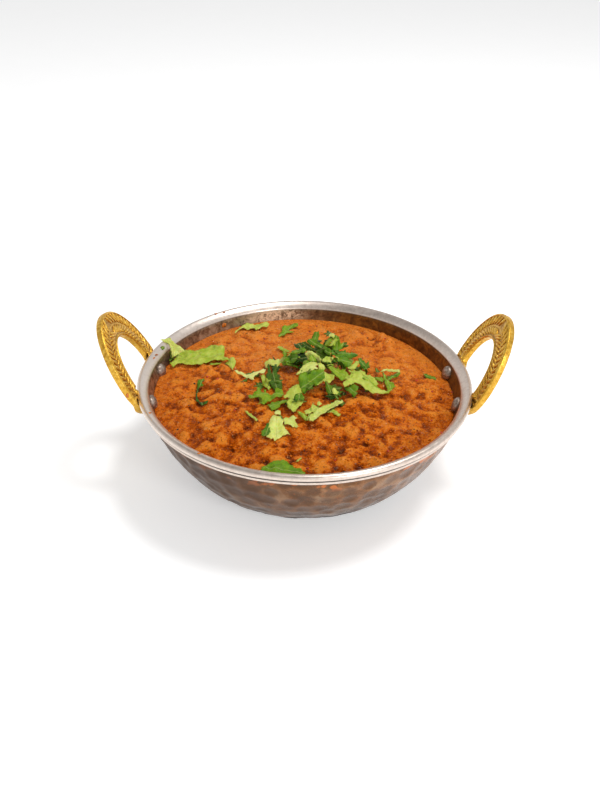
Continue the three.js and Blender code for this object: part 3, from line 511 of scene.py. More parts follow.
def all_round(profile, sides):
    """A profile's radii and heights, the same at every angle."""
    return np.repeat(profile.T[:, :, None], sides, axis=2)


def run_along(x, y):
    """Length of a curve up to each of its points."""
    return np.concatenate([[0], np.cumsum(np.hypot(np.diff(x), np.diff(y)))])


def turned(radius, height, ends):
    """Points and faces of a skin round Z: radii and heights, a row to a ring, and the heights at
    which it closes on the axis at its start and end."""
    count, sides = radius.shape
    turn = circle(sides)
    points = np.stack([radius * np.cos(turn), radius * np.sin(turn), height], -1).reshape(-1, 3)
    start, end = len(points), len(points) + 1
    points = np.vstack([points, [0, 0, ends[0]], [0, 0, ends[1]]])
    faces = []
    last = (count - 1) * sides
    for j in range(sides):
        k = (j + 1) % sides
        faces.append((start, k, j))
        for i in range(0, last, sides):
            faces.append((i + j, i + k, i + sides + k, i + sides + j))
        faces.append((last + j, last + k, end))
    return points, faces


# Bowl

def wall_radius(z):
    """Radius of the wall's outside at height z."""
    t = np.clip(np.asarray(z, float) / WALL_TOP_Z, 0, 1)
    out = (1 - (1 - t) ** WALL_BULGE) ** WALL_FLARE
    return BASE_RADIUS + (WALL_TOP_RADIUS - BASE_RADIUS) * out


def wall_curve(inset):
    """The wall from the base up to the copper's top, moved inwards by inset."""
    z = COPPER_TOP_Z * (np.arange(57) / 56) ** 2
    slope = (wall_radius(z + 0.01) - wall_radius(np.maximum(z - 0.01, 0))) / 0.02
    slope[0] = 1e6
    length = np.hypot(1, slope)
    return np.column_stack([wall_radius(z) - inset / length, z + inset * slope / length])


def on_curve(curve, z):
    """Radius of a curve at height z."""
    return np.interp(z, curve[:, 1], curve[:, 0])


def arc(middle, radius, start, end, count):
    """Points on a circle in the profile plane, angles in degrees."""
    angles = np.radians(np.linspace(start, end, count))
    return [(middle[0] + radius * math.cos(a), middle[1] + radius * math.sin(a)) for a in angles]


def rim_profile():
    """The rolled rim: hem down over the copper, round bead, flared lip."""
    bead = (RIM_RADIUS - BEAD_RADIUS, RIM_TOP_Z - BEAD_RADIUS)
    under = bead[1] - 0.87 * BEAD_RADIUS - 0.1
    half = HEM_SHEET / 2
    hem_foot = arc((HEM_RADIUS - half, HEM_BOTTOM_Z + half), half, 180, 360, 9)
    rolled = arc(bead, BEAD_RADIUS, -62, 95, 20)
    top, inner = np.array(rolled[-1]), np.array((RIM_INNER_RADIUS, RIM_INNER_Z))
    pull = np.array((RIM_INNER_RADIUS + 1.6, RIM_TOP_Z - 0.7))
    t = np.linspace(0, 1, 12)[1:, None]
    lip = (1 - t) ** 2 * top + 2 * t * (1 - t) * pull + t ** 2 * inner
    neck = [(HEM_RADIUS, under), (HEM_RADIUS + 0.12, under + 0.06)]
    return [(HEM_RADIUS - HEM_SHEET, under), *hem_foot, *neck, *rolled, *map(tuple, lip)]


def liner_profile():
    """The liner's rings from the middle of its foot, over the rim, to the middle inside."""
    outer, inner, rim = wall_curve(LINER_INSET), wall_curve(LINER_INNER_INSET)[::-1], rim_profile()
    shoulder = (outer[-1, 0], rim[0][1])
    return np.array([*outer, shoulder, *rim, *inner[inner[:, 1] < RIM_INNER_Z - 0.9]])


def lip_height(radius):
    """Height of the surface that something lies on at this radius, from the wall to the rim."""
    inner = wall_curve(LINER_INNER_INSET)
    rim = [p for p in rim_profile()[12:] if p[1] > RIM_TOP_Z - BEAD_RADIUS][::-1]
    low = inner[inner[:, 1] < RIM_INNER_Z - 0.9]
    radii = [*low[:, 0], *[p[0] for p in rim]]
    heights = [*low[:, 1], *[p[1] for p in rim]]
    return np.interp(radius, radii, heights)


# Handles

def oval_reach(oval, angle):
    """Distance from the handle's origin to an oval along each angle, in the handle's plane."""
    x, y = np.cos(angle), np.sin(angle)
    reach = np.zeros_like(angle)
    for tall, side in ((oval["up"], 1), (oval["down"], -1)):
        a = (x / oval["half_width"]) ** 2 + (y / tall) ** 2
        b = -2 * oval["middle"] * y / tall ** 2
        c = (oval["middle"] / tall) ** 2 - 1
        r = (-b + np.sqrt(b * b - 4 * a * c)) / (2 * a)
        here = (r * y - oval["middle"]) * side >= 0
        reach[here] = r[here]
    return reach


def envelope_radius(z):
    """Radius inside which the handle may not come, at height z."""
    wall = wall_radius(z) + GAP
    hem = HEM_RADIUS + GAP
    rim = RIM_RADIUS + GAP
    hem_z = HEM_BOTTOM_Z - GAP
    steps = np.interp(z, [hem_z, hem_z + 0.01, 47.2, 48, 52.5, 52.6], [0, hem, hem, rim, rim, 0])
    return np.where(z < hem_z, wall, steps)


def plate_point(side, across, up, out):
    """A spot on a handle's plate: across the rim, up the plate, and out from its inner face."""
    start, lean, _, sign = HANDLES[side]
    x = start + up * math.sin(lean) + out * math.cos(lean)
    z = HANDLE_Z + up * math.cos(lean) - out * math.sin(lean)
    return np.stack([sign * x, sign * across + 0 * x, z], axis=-1)


def ring_point(angle, share):
    """Plate position at this angle round the ring and share of the way from hole to edge."""
    hole, edge = (oval_reach({**oval, "middle": oval["middle"] - PLATE_EYE}, angle)
                  for oval in (HOLE, OVAL))
    reach = hole + (edge - hole) * share
    return reach * np.cos(angle), PLATE_EYE + reach * np.sin(angle), edge - hole


def clear_of_bowl(side, across, up, start):
    """How far out each point has to move from start before it is clear of the bowl."""
    step = 0.04
    tries = np.arange(-FOOT_DEPTH, HANDLE_THICKNESS, step)
    place = plate_point(side, across[..., None], up[..., None], tries)
    radius = np.hypot(place[..., 0], place[..., 1])
    inside = (radius < envelope_radius(place[..., 2])) & (tries >= start[..., None])
    last = tries[::-1][np.argmax(inside[..., ::-1], axis=-1)] + step
    return np.where(inside.any(-1), np.maximum(last, start), start)


def handle_mesh(side, border_height):
    """A cast oval ring with a raised line along both edges and a foot down to the wall."""
    turns, steps = HANDLE_TURNS, HANDLE_STEPS
    angle = circle(turns)[:, None]
    share = (0.5 - 0.5 * np.cos(np.linspace(0, math.pi, steps)))[None, :]
    angle, share = np.broadcast_arrays(angle, share)
    across, up, width = ring_point(angle, share)
    to_edge = np.minimum(share, 1 - share) * width
    near = np.clip(1 - to_edge / HANDLE_BEVEL, 0, 1)
    rounding = HANDLE_BEVEL * (1 - np.sqrt(1 - near ** 2))
    above_foot = np.clip((up - FOOT_TOP) / 1.5, 0, 1)
    field = smooth_steps(np.clip((to_edge - FIELD_EDGE) / 0.3, 0, 1)) * above_foot
    stem = np.exp(-((share - 0.5) * width / 0.4) ** 2)
    field *= 1 - 0.8 * stem
    border = border_height * (np.exp(-((to_edge - LINE_PLACE) / 0.26) ** 2) - 0.8 * field)
    front = np.where(up < FOOT_TOP, -FOOT_DEPTH, rounding - border)
    front = clear_of_bowl(side, across, up, front)
    pad = HANDLES[side][2] * smooth_steps(np.clip((FOOT_TOP + 3 - up) / 6, 0, 1))
    back = HANDLE_THICKNESS + pad - rounding + 0.05 * fractal(across / 3, up / 3, 71)
    front = np.minimum(front, back - 0.1)
    loop_across = np.concatenate([across, across[:, ::-1]], axis=1)
    loop_up = np.concatenate([up, up[:, ::-1]], axis=1)
    loop_out = np.concatenate([back, front[:, ::-1]], axis=1)
    points = plate_point(side, loop_across, loop_up, loop_out).reshape(-1, 3)
    around = 2 * steps
    faces = []
    for j in range(turns):
        a, b = j * around, (j + 1) % turns * around
        for i in range(around):
            k = (i + 1) % around
            faces.append((a + i, a + k, b + k, b + i))
    recess = np.concatenate([0 * field, field[:, ::-1]], axis=1).ravel()
    return points, faces, recess


# Curry

def curry_lumps():
    """The same lumps as in the CAD: x, y, radius and height."""
    for i in range(LUMP_COUNT):
        reach = CURRY_RADIUS * math.sqrt((i + 0.5) / LUMP_COUNT)
        angle = i * GOLDEN_ANGLE + 0.9 * scatter(i, 1)
        radius = 3.4 + 2.6 * scatter(i, 2)
        yield reach * math.cos(angle), reach * math.sin(angle), radius, 0.5 + 1.2 * scatter(i, 3)


def map_axis():
    """Places of the height map's rows, the same for its columns."""
    return (np.arange(2 * HALF_CELLS + 1) - HALF_CELLS) * CELL


def raise_domes(height, x, y, domes, power):
    """Adds round-topped lumps to a height map, the highest winning where they meet."""
    axis = map_axis()
    for lump_x, lump_y, radius, rise in domes:
        i = slice(*np.searchsorted(axis, (lump_x - radius - 2, lump_x + radius + 2)))
        j = slice(*np.searchsorted(axis, (lump_y - radius - 2, lump_y + radius + 2)))
        near = 1 - ((x[i, j] - lump_x) ** 2 + (y[i, j] - lump_y) ** 2) / radius ** 2
        np.maximum(height[i, j], rise * np.clip(near, 0, 1) ** power, out=height[i, j])


def blurred(grid, radius):
    """The grid smoothed over this radius in millimetres."""
    reach = int(3 * radius / CELL) + 1
    kernel = np.exp(-0.5 * ((np.arange(-reach, reach + 1) * CELL) / radius) ** 2)
    kernel /= kernel.sum()
    for axis in (0, 1):
        padded = np.pad(grid, [(reach, reach) if a == axis else (0, 0) for a in (0, 1)], "edge")
        grid = sum(weight * padded.take(range(k, k + grid.shape[axis]), axis)
                   for k, weight in enumerate(kernel))
    return grid


def sown(draw, count):
    """Places strewn evenly over the curry, as x and y."""
    reach = CURRY_RADIUS * np.sqrt(draw.random(count))
    angle = 2 * math.pi * draw.random(count)
    return reach * np.cos(angle), reach * np.sin(angle)


def curry_map(settings):
    """Height of the curry, and how sunken and how grainy it is, over a square grid."""
    grain_count, pit_count = settings.grain_count, settings.pit_count
    axis = map_axis()
    x, y = np.meshgrid(axis, axis, indexing="ij")
    outward = np.minimum((x * x + y * y) / CURRY_RADIUS ** 2, 1)
    base = CURRY_EDGE_Z + CURRY_MOUND * (1 - outward)
    base += (CURRY_BACK_RISE * y - CURRY_RIGHT_FALL * x) / CURRY_RADIUS
    for lump_x, lump_y, radius, rise in LARGE_LUMPS:
        near = np.clip(1 - ((x - lump_x) ** 2 + (y - lump_y) ** 2) / radius ** 2, 0, 1)
        base += rise * near * (2 - near)
    # Bent places give the lumps, grains and pits uneven outlines.
    bent_x, bent_y = (
        side + 2.4 * fractal(x / 5, y / 5, seed) + 0.7 * fractal(x / 1.4, y / 1.4, seed + 4)
        for side, seed in ((x, 11), (y, 13)))
    lumps = np.zeros_like(x)
    raise_domes(lumps, bent_x, bent_y, [*curry_lumps(), *MINCE_LUMPS], 0.9)
    lumps = 1.15 * blurred(lumps, 0.5) * np.clip(0.8 + 0.7 * fractal(x / 13, y / 13, 23), 0.4, 1)
    draw = np.random.default_rng(20)
    grains = np.zeros_like(x)
    spots = sown(draw, grain_count)
    sizes = 0.5 + 1.4 * draw.random(grain_count) ** 2
    rises = sizes * (0.12 + 0.28 * draw.random(grain_count))
    raise_domes(grains, bent_x, bent_y, zip(*spots, sizes, rises), 0.7)
    # Sauce lies deeper towards the back left, so fewer grains stand out of it there.
    sauce = fractal(x / 17, y / 17, 31) + 0.5 * np.clip((y - 0.7 * x) / 70, -1, 1)
    grainy = np.clip(0.7 - 0.8 * sauce, 0.35, 1)
    pits = np.zeros_like(x)
    spots = sown(draw, pit_count)
    sizes = 0.8 + 1.4 * draw.random(pit_count)
    raise_domes(pits, bent_x, bent_y, [*zip(*spots, sizes, 0.4 * sizes), *NAMED_PITS], 1.0)
    # The relief fades towards the wall, as it does where the sauce has run flat.
    fade = np.minimum(1, 5 * (1 - outward))
    swell = 0.34 * fractal(x / 3.2, y / 3.2, 37, 3, 0.6)
    ripple = settings.ripple / MM * fractal(x / 0.9, y / 0.9, 41, 2)
    detail = blurred(lumps + swell + (grains + ripple) * grainy - pits, 0.25) * fade
    # hollow: how far a point lies below what is around it; the sauce material paints it darker
    # there, as painted shade.
    hollow = 0.4 * (blurred(detail, 1.4) - detail) + blurred(detail, 3.5) - blurred(detail, 0.5)
    return base + detail, hollow, grainy


def sample(grid, x, y):
    """Values of a curry map at points x, y."""
    i = np.clip(np.asarray(x) / CELL + HALF_CELLS, 0, 2 * HALF_CELLS - 1e-6)
    j = np.clip(np.asarray(y) / CELL + HALF_CELLS, 0, 2 * HALF_CELLS - 1e-6)
    a, b = np.floor(i).astype(int), np.floor(j).astype(int)
    return between_four(grid, (a, a + 1), (b, b + 1), i - a, j - b)


def disc(rings):
    """A disc's spots (reach, angle) and triangles, in rings of 6, 12, 18... spots."""
    reach, angle, first = [0.0], [0.0], [0, 1]
    for k in range(1, rings + 1):
        reach += [k / rings] * (6 * k)
        angle += list(np.arange(6 * k) * 2 * math.pi / (6 * k))
        first.append(first[-1] + 6 * k)
    faces = []
    for k in range(1, rings + 1):
        inner, outer = 6 * (k - 1) or 1, 6 * k
        i = j = 0
        while j < outer or (k > 1 and i < inner):
            a, b = first[k - 1] + i % inner, first[k] + j % outer
            if j < outer and (k == 1 or i >= inner or (j + 1) / outer <= (i + 1) / inner + 1e-9):
                faces.append((a, b, first[k] + (j + 1) % outer))
                j += 1
            else:
                faces.append((a, b, first[k - 1] + (i + 1) % inner))
                i += 1
    return np.array(reach), np.array(angle), faces, range(first[rings], first[rings + 1])


# Leaves

def inside_outline(points, outline):
    """Which of the flat points lie inside a closed outline."""
    x, y = points[:, 0, None], points[:, 1, None]
    a, b = outline, np.roll(outline, -1, axis=0)
    spans = (a[:, 1] > y) != (b[:, 1] > y)
    with np.errstate(divide="ignore", invalid="ignore"):
        cross = a[:, 0] + (y - a[:, 1]) / (b[:, 1] - a[:, 1]) * (b[:, 0] - a[:, 0])
    return (spans & (x < cross)).sum(axis=1) % 2 == 1


def edge_distance(points, outline):
    """How far flat points are from a closed outline."""
    a, b = outline, np.roll(outline, -1, axis=0)
    along = b - a
    t = ((points[:, None] - a) * along).sum(-1) / (along ** 2).sum(-1)
    spot = a + np.clip(t, 0, 1)[..., None] * along
    return np.sqrt(((points[:, None] - spot) ** 2).sum(-1)).min(axis=1)


def fine_outline(corners, draw):
    """The outline with more points, small teeth along its edge and slightly uneven sides."""
    fine, teeth = [], []
    following = np.roll(corners, -1, axis=0)
    for a, b in zip(corners, following):
        count = max(1, round(float(np.linalg.norm(b[:2] - a[:2])) / LEAF_SPACING))
        for k in range(count):
            fine.append(a + (b - a) * k / count)
            teeth.append(LEAF_TOOTH * (1 if len(fine) % 3 == 0 else -0.4) * draw.uniform(0.4, 1))
    fine, teeth = np.array(fine), np.array(teeth)
    along = np.roll(fine, -1, axis=0) - np.roll(fine, 1, axis=0)
    side = np.column_stack([along[:, 1], -along[:, 0]])
    side /= np.linalg.norm(side, axis=1)[:, None] + 1e-9
    area = 0.5 * (corners[:, 0] * following[:, 1] - following[:, 0] * corners[:, 1]).sum()
    fine[:, :2] += side * teeth[:, None] * math.copysign(1, area)
    return fine


def leaf_sheet(corners, seed, settings, ground):
    """Points, faces and leaf coordinates of one thin wavy piece of leaf."""
    draw = np.random.default_rng(seed)
    spacing = LEAF_SPACING
    corners = np.array(corners, float)
    centre = corners.mean(axis=0)
    long, cross, up = np.linalg.svd(corners - centre)[2]
    up = up * math.copysign(1, up[2])
    cross = np.cross(up, long)
    axes = np.array([long, cross, up])
    outline = fine_outline((corners - centre) @ axes.T, draw)
    flat = outline[:, :2]
    low, high = flat.min(axis=0), flat.max(axis=0)
    cells = [np.arange(a + spacing / 2, b, spacing) for a, b in zip(low, high)]
    grid = np.stack(np.meshgrid(*cells, indexing="ij"), axis=-1)
    grid[:, ::2, 0] += spacing / 2
    grid = grid.reshape(-1, 2)
    grid = grid + draw.uniform(-0.12, 0.12, grid.shape) * spacing
    grid = grid[inside_outline(grid, flat)] if len(grid) else grid
    grid = grid[edge_distance(grid, flat) > 0.4 * spacing] if len(grid) else grid
    spots = [Vector(p) for p in np.vstack([flat, grid])]
    spots, _, faces, *_ = delaunay_2d_cdt(spots, [], [list(range(len(flat)))], 1, 1e-5)
    spots = np.array([tuple(p) for p in spots])
    gaps = ((spots[:, None] - flat) ** 2).sum(-1) + 1e-4
    height = (outline[:, 2] / gaps ** 2).sum(1) / (1 / gaps ** 2).sum(1)
    rim = edge_distance(spots, flat)
    u, v = spots[:, 0], spots[:, 1]
    size = math.sqrt(max(np.ptp(u) * np.ptp(v), 0.1))
    amount = settings.wave / MM * min(1, size / 7)
    height = height + amount * value_noise(u / 2.6 + seed, v / 2.6, seed)
    height += 0.8 * amount * (0.4 - np.abs(value_noise(u / 2.8, v / 1.3, seed + 1)))
    height -= 0.22 * min(1, size / 7) * np.exp(-(v / 0.7) ** 2)
    half = settings.thickness / MM * (0.22 + 0.28 * np.clip(rim / 0.8, 0, 1))
    middle = centre + np.column_stack([u, v, height]) @ axes
    lower, upper = middle - half[:, None] * up, middle + half[:, None] * up
    lift = np.maximum(ground(lower[:, 0], lower[:, 1]) + 0.06 - lower[:, 2], 0)
    lower[:, 2] += lift
    upper[:, 2] += lift
    return join_faces(lower, upper, faces, np.column_stack([u, v, rim]))


def join_faces(lower, upper, faces, place):
    """Closes a lower and an upper skin, which have the same faces, round their edge."""
    count = len(lower)
    turned_faces = []
    for face in faces:
        a, b, c = (place[k, :2] for k in face[:3])
        area = (b[0] - a[0]) * (c[1] - a[1]) - (b[1] - a[1]) * (c[0] - a[0])
        turned_faces.append(face if area > 0 else face[::-1])
    sides = {(face[k], face[(k + 1) % len(face)]) for face in turned_faces
             for k in range(len(face))}
    skin = [tuple(k + count for k in face) for face in turned_faces]
    skin += [tuple(face[::-1]) for face in turned_faces]
    skin += [(a, b, b + count, a + count) for a, b in sides if (b, a) not in sides]
    return np.vstack([lower, upper]), skin, np.vstack([place, place])


def under_leaves(leaves, number):
    """More pieces that lie under and between the given ones, so that a heap is full all round."""
    draw = np.random.default_rng(4)
    # Most of these get the darkest shades: painted shade for the leaves under and between the
    # upper ones.
    tones, shares = (0.02, 0.1, 0.2, 0.35, 0.7), (0.3, 0.25, 0.2, 0.15, 0.1)
    extra = []
    for _ in range(number):
        anchor = np.mean(leaves[draw.integers(len(leaves))][1], axis=0)
        centre = anchor + (*draw.normal(0, 2.2, 2), -draw.uniform(0.8, 3.2))
        long = draw.normal(0, 1, 3) * (1, 1, 0.4)
        long /= np.linalg.norm(long)
        cross = np.cross(long, draw.normal(0, 0.45, 3) + (0, 0, 1))
        cross /= np.linalg.norm(cross)
        size, slim = draw.uniform(2.2, 4.6), draw.uniform(0.3, 0.75)
        lobes = draw.integers(8, 12)
        corners = []
        for k in range(lobes):
            turn = 2 * math.pi * (k + draw.uniform(-0.2, 0.2)) / lobes
            reach = size * (1 if k % 2 else draw.uniform(0.45, 0.8))
            spoke = math.cos(turn) * long + slim * math.sin(turn) * cross
            corners.append(centre + reach * spoke)
        extra.append((draw.choice(tones, p=shares), corners))
    return extra


def leaf_object(name, leaves, material, settings, ground, first_seed):
    """One object from several pieces of leaf, each (tone, corners)."""
    points, faces, fields = [], [], {"leaf_place": [], "leaf_tone": [], "leaf_tint": []}
    for seed, (tone, corners) in enumerate(leaves, first_seed):
        spots, skin, place = leaf_sheet(corners, seed, settings, ground)
        faces += [tuple(i + len(points) for i in face) for face in skin]
        points += [*spots]
        fields["leaf_place"] += [*place]
        fields["leaf_tone"] += [tone] * len(spots)
        fields["leaf_tint"] += [scatter(seed, 8)] * len(spots)
    return make_object(name, points, faces, material, fields)


def rivet_seat(angle):
    """Where a rivet's axis comes through the wall, and the direction in which its head faces."""
    wall = wall_curve(LINER_INNER_INSET)
    radius = on_curve(wall, RIVET_Z)
    slope = math.atan((on_curve(wall, RIVET_Z + 1) - on_curve(wall, RIVET_Z - 1)) / 2)
    out = (math.cos(slope) * math.cos(angle), math.cos(slope) * math.sin(angle), -math.sin(slope))
    return np.array([radius * math.cos(angle), radius * math.sin(angle), RIVET_Z]), Vector(out)


# Materials. A pattern's size is the width of its largest blotches in millimetres.

def fresh_material(name, patterns, **fixed):
    """A material with its shader's plain values set, and its patterns: the place of each point in
    millimetres and unevenness, each given as its size, detail, roughness and distortion."""
    material = bpy.data.materials.new(name)
    material.use_nodes = True
    tree = material.node_tree
    shader = tree.nodes["Principled BSDF"]
    feed(tree, shader, {socket.replace("_", " "): value for socket, value in fixed.items()})
    coordinates = add(tree, "ShaderNodeTexCoord").outputs["Object"]
    place = add(tree, "ShaderNodeMapping", {"Vector": coordinates, "Scale": (1 / MM,) * 3})
    pattern = {"place": place}
    for label, (size, *numbers) in patterns.items():
        more = dict(zip(("Detail", "Roughness", "Distortion"), numbers))
        pattern[label] = add(tree, "ShaderNodeTexNoise",
                             {"Vector": place, "Scale": 1 / size, **more})
    return material, tree, shader, pattern


def mask(tree, *fades):
    """How much there is of a finish, from fades times each other. A fade is a value, the two
    numbers between which it turns from 0 to 1, and what it gives there in place of 0 and 1."""
    total = None
    for fade in fades:
        if isinstance(fade, tuple):
            value, start, end, low, high = fade if len(fade) == 5 else (*fade, 0.0, 1.0)
            fade = add(tree, "ShaderNodeMapRange", {
                "Value": value, "From Min": start, "From Max": end, "To Min": low, "To Max": high,
            }, interpolation_type="SMOOTHSTEP")
        total = fade if total is None else add(tree, "ShaderNodeMath", {0: total, 1: fade},
                                               operation="MULTIPLY")
    return total


def weighed(tree, total, *parts):
    """A value with others added to it, each times its weight."""
    for value, weight in parts:
        total = add(tree, "ShaderNodeMath", {0: value, 1: weight, 2: total},
                    operation="MULTIPLY_ADD")
    return total


def layered(tree, colour, *layers):
    """A colour with others over it. A layer is its colour and the fades of its mask."""
    for over, *fades in layers:
        over = linear(over) if isinstance(over, str) else over
        colour = add(tree, "ShaderNodeMix", {"Factor": mask(tree, *fades), 6: colour, 7: over},
                     data_type="RGBA")
    return colour


def steel_material(settings):
    """Satin stainless steel, spun on a lathe: a wide soft gloss, faint turning lines, and below
    the lip a brown film where the sauce has run down and dried, which painted shade darkens
    and a painted reflection of the curry turns orange-brown on the right."""
    material, tree, shader, pattern = fresh_material("satin_stainless_steel", {
        "blotches": (1.6, 6.0, 0.75), "streaks": (4.0, 6.0, 0.7, 0.8), "sheen": (3.0, 4.0),
        "smears": (3.2, 6.0, 0.75, 1.4)})
    place = pattern["place"]
    axes = add(tree, "ShaderNodeSeparateXYZ", {"Vector": place}).outputs
    flat = add(tree, "ShaderNodeVectorMath", {0: place, 1: (1, 1, 0)}, operation="MULTIPLY")
    radius = add(tree, "ShaderNodeVectorMath", {0: flat}, operation="LENGTH")
    turned_place = add(tree, "ShaderNodeCombineXYZ", {"X": radius, "Y": axes["Z"]})
    lines = add(tree, "ShaderNodeTexNoise", {
        "Vector": turned_place, "Scale": 1 / 0.7, "Detail": 2.0, "Roughness": 0.6})
    # The inner film is partly a dried sauce film and partly painted: painted shade darkens the
    # whole inner wall, and on the right a painted reflection of the curry makes it orange-brown.
    film_with_shade = ramp(tree, pattern["streaks"], (0.35, "#5c4a38"), (0.5, "#937a62"),
                      (0.65, "#bba48c"))
    film_with_reflection = ramp(tree, pattern["streaks"], (0.35, "#4a2a06"), (0.5, settings.film_colour),
                     (0.68, "#92621f"))
    # Painted shade: a darker band from 47.2 to 48 mm, just under the lip's inner edge.
    film = layered(tree, film_with_shade, (film_with_reflection, (axes["X"], -35, 30)),
                   ("#54433a", (axes["Z"], 47.2, 48.0, 0.0, 0.45)))
    inner = mask(tree, (axes["Z"], 48.35, 47.7), (radius, 75.6, 75.2))
    # The smear is an oval, 21 mm wide and 4 mm high, at the back of the wall.
    smear_place = add(tree, "ShaderNodeMapping", {
        "Vector": place, "Location": (17 / 21, -74 / 21, -44.6 / 4),
        "Scale": (1 / 21, 1 / 21, 1 / 4)})
    smear_reach = add(tree, "ShaderNodeVectorMath", {0: smear_place}, operation="LENGTH")
    smear = mask(tree, (smear_reach, 1.2, 0.4), inner, (pattern["smears"], 0.42, 0.58))
    colour = ramp(tree, pattern["blotches"], (0.3, "#cdb9ac"), (0.5, settings.steel_colour),
                  (0.7, "#e8dacf"))
    colour = layered(
        tree, colour, (film, inner), ("#e2c19c", smear),
        # Painted light: the left of the rim's top is lightened towards white.
        ("#eee4db", (axes["X"], -35, -75, 0.0, 0.5), (axes["Z"], 48.8, 49.8)),
        # Painted shade: a near-black line in the groove between the bead and the hem.
        ("#2a1c12", (axes["Z"], 47.15, 47.4), (radius, 77.9, 78.3, 0.0, 0.95),
         (axes["Z"], 49.0, 48.7)))
    coat = mask(tree, inner, (axes["X"], -60, 60, 0.1, 0.4))
    covered = add(tree, "ShaderNodeMath", {0: smear, 1: coat}, operation="MAXIMUM")
    gloss = mask(tree, (pattern["sheen"], 0.3, 0.7, 0.33, 0.42))
    feed(tree, shader, {
        "Base Color": colour, "Metallic": weighed(tree, 1.0, (covered, -1.0)),
        "Roughness": weighed(tree, gloss, (inner, 0.04), (smear, 0.3)),
        "Normal": add(tree, "ShaderNodeBump", {"Height": lines, "Distance": 0.012 * MM})})
    return material


def copper_material(settings):
    """Hand-hammered copper sheet that has darkened and been wiped: brown with greyish bloom,
    brighter metal on the ridges between the hammer marks, a few orange spots under the rim.
    Painted shade makes it darker and duller towards the foot and on the left."""
    material, tree, shader, pattern = fresh_material("hammered_copper", {
        "clouds": (11.0, 6.0, 0.65, 0.5), "stains": (2.6, 6.0, 0.75, 0.8),
        "rust": (1.6, 4.0, 0.7, 0.5), "spots": (5.5, 3.0), "sheen": (6.0, 4.0, 0.6),
        "grit": (1.1, 3.0, 0.6)})
    axes = add(tree, "ShaderNodeSeparateXYZ", {"Vector": pattern["place"]}).outputs
    marks = add(tree, "ShaderNodeAttribute", attribute_name="hammer_mark").outputs["Fac"]
    # Painted shade: foot turns the copper near black below 8.5 to 12 mm and dulls the metal there.
    foot = mask(tree, (axes["Z"], 12.0, 8.5, 0.0, 0.95))
    # Painted shade: left darkens the copper's left side, away from the lights, and dulls the metal
    # there.
    left = mask(tree, (axes["X"], 15, -50, 0.0, 0.75))
    colour = ramp(tree, pattern["clouds"], (0.3, "#57381f"), (0.43, "#79512f"),
                  (0.53, settings.copper_colour), (0.62, "#997352"), (0.72, "#a68a70"))
    colour = layered(
        tree, colour, ("#573c28", (marks, 0.5, 1.4, 0.0, 0.6)),
        ("#c79a72", (marks, 0.35, 0.0, 0.0, 0.7), (pattern["clouds"], 0.4, 0.6, 0.3, 1.0)),
        ("#4a3026", (pattern["stains"], 0.54, 0.7, 0.0, 0.6)),
        ("#b5622f", (pattern["rust"], 0.6, 0.7, 0.0, 0.6)),
        ("#c4713c", (axes["Z"], 38, 43), (pattern["spots"], 0.55, 0.6, 0.0, 0.9)),
        # Painted shade: darker from 24 mm down, near black at the foot, and darker on the left.
        ("#3a2113", (axes["Z"], 24, 10, 0.0, 0.45)), ("#180b04", foot), ("#3e2919", left))
    half_left_shade = weighed(tree, 0.0, (left, 0.5))
    dull_in_shade = add(tree, "ShaderNodeMath", {0: foot, 1: half_left_shade}, operation="MAXIMUM")
    gloss = mask(tree, (pattern["sheen"], 0.3, 0.7, 0.2, 0.36))
    feed(tree, shader, {
        "Base Color": colour, "Metallic": weighed(tree, 0.85, (dull_in_shade, -0.7)),
        "Roughness": weighed(tree, gloss, (dull_in_shade, 0.4)),
        "Normal": add(tree, "ShaderNodeBump", {"Height": pattern["grit"], "Distance": 0.03 * MM})})
    return material


def brass_material(settings):
    """Sand-cast brass, polished by hand: bright on what stands out, brown in the hollows."""
    material, tree, shader, pattern = fresh_material("cast_brass", {
        "grain": (1.4, 5.0, 0.65), "clouds": (7.0, 4.0), "sheen": (2.5, 4.0)}, Metallic=0.9)
    grain = pattern["grain"]
    hollow = add(tree, "ShaderNodeAttribute", attribute_name="recess").outputs["Fac"]
    colour = ramp(tree, grain, (0.32, "#bb882c"), (0.5, settings.brass_colour), (0.7, "#f2cf6a"))
    feed(tree, shader, {
        "Base Color": layered(tree, colour, ("#c8922c", (pattern["clouds"], 0.42, 0.66, 0.0, 0.4)),
                              ("#8f5f1e", hollow, (grain, 0.3, 0.65, 0.85, 0.5))),
        "Roughness": mask(tree, (pattern["sheen"], 0.3, 0.7, 0.32, 0.48)),
        "Normal": add(tree, "ShaderNodeBump", {"Height": grain, "Distance": 0.14 * MM})})
    return material


def rivet_material():
    """Stainless rivet heads, dulled by cooking and by sauce."""
    material, tree, shader, pattern = fresh_material("dull_steel_rivet", {
        "streaks": (1.6, 5.0, 0.7, 1.2)}, Metallic=0.9)
    streaks = pattern["streaks"]
    feed(tree, shader, {
        "Base Color": ramp(tree, streaks, (0.35, "#6b5546"), (0.5, "#a39184"), (0.7, "#cfc2b8")),
        "Roughness": mask(tree, (streaks, 0.3, 0.7, 0.55, 0.42)),
        "Normal": add(tree, "ShaderNodeBump", {"Height": streaks, "Distance": 0.1 * MM})})
    return material


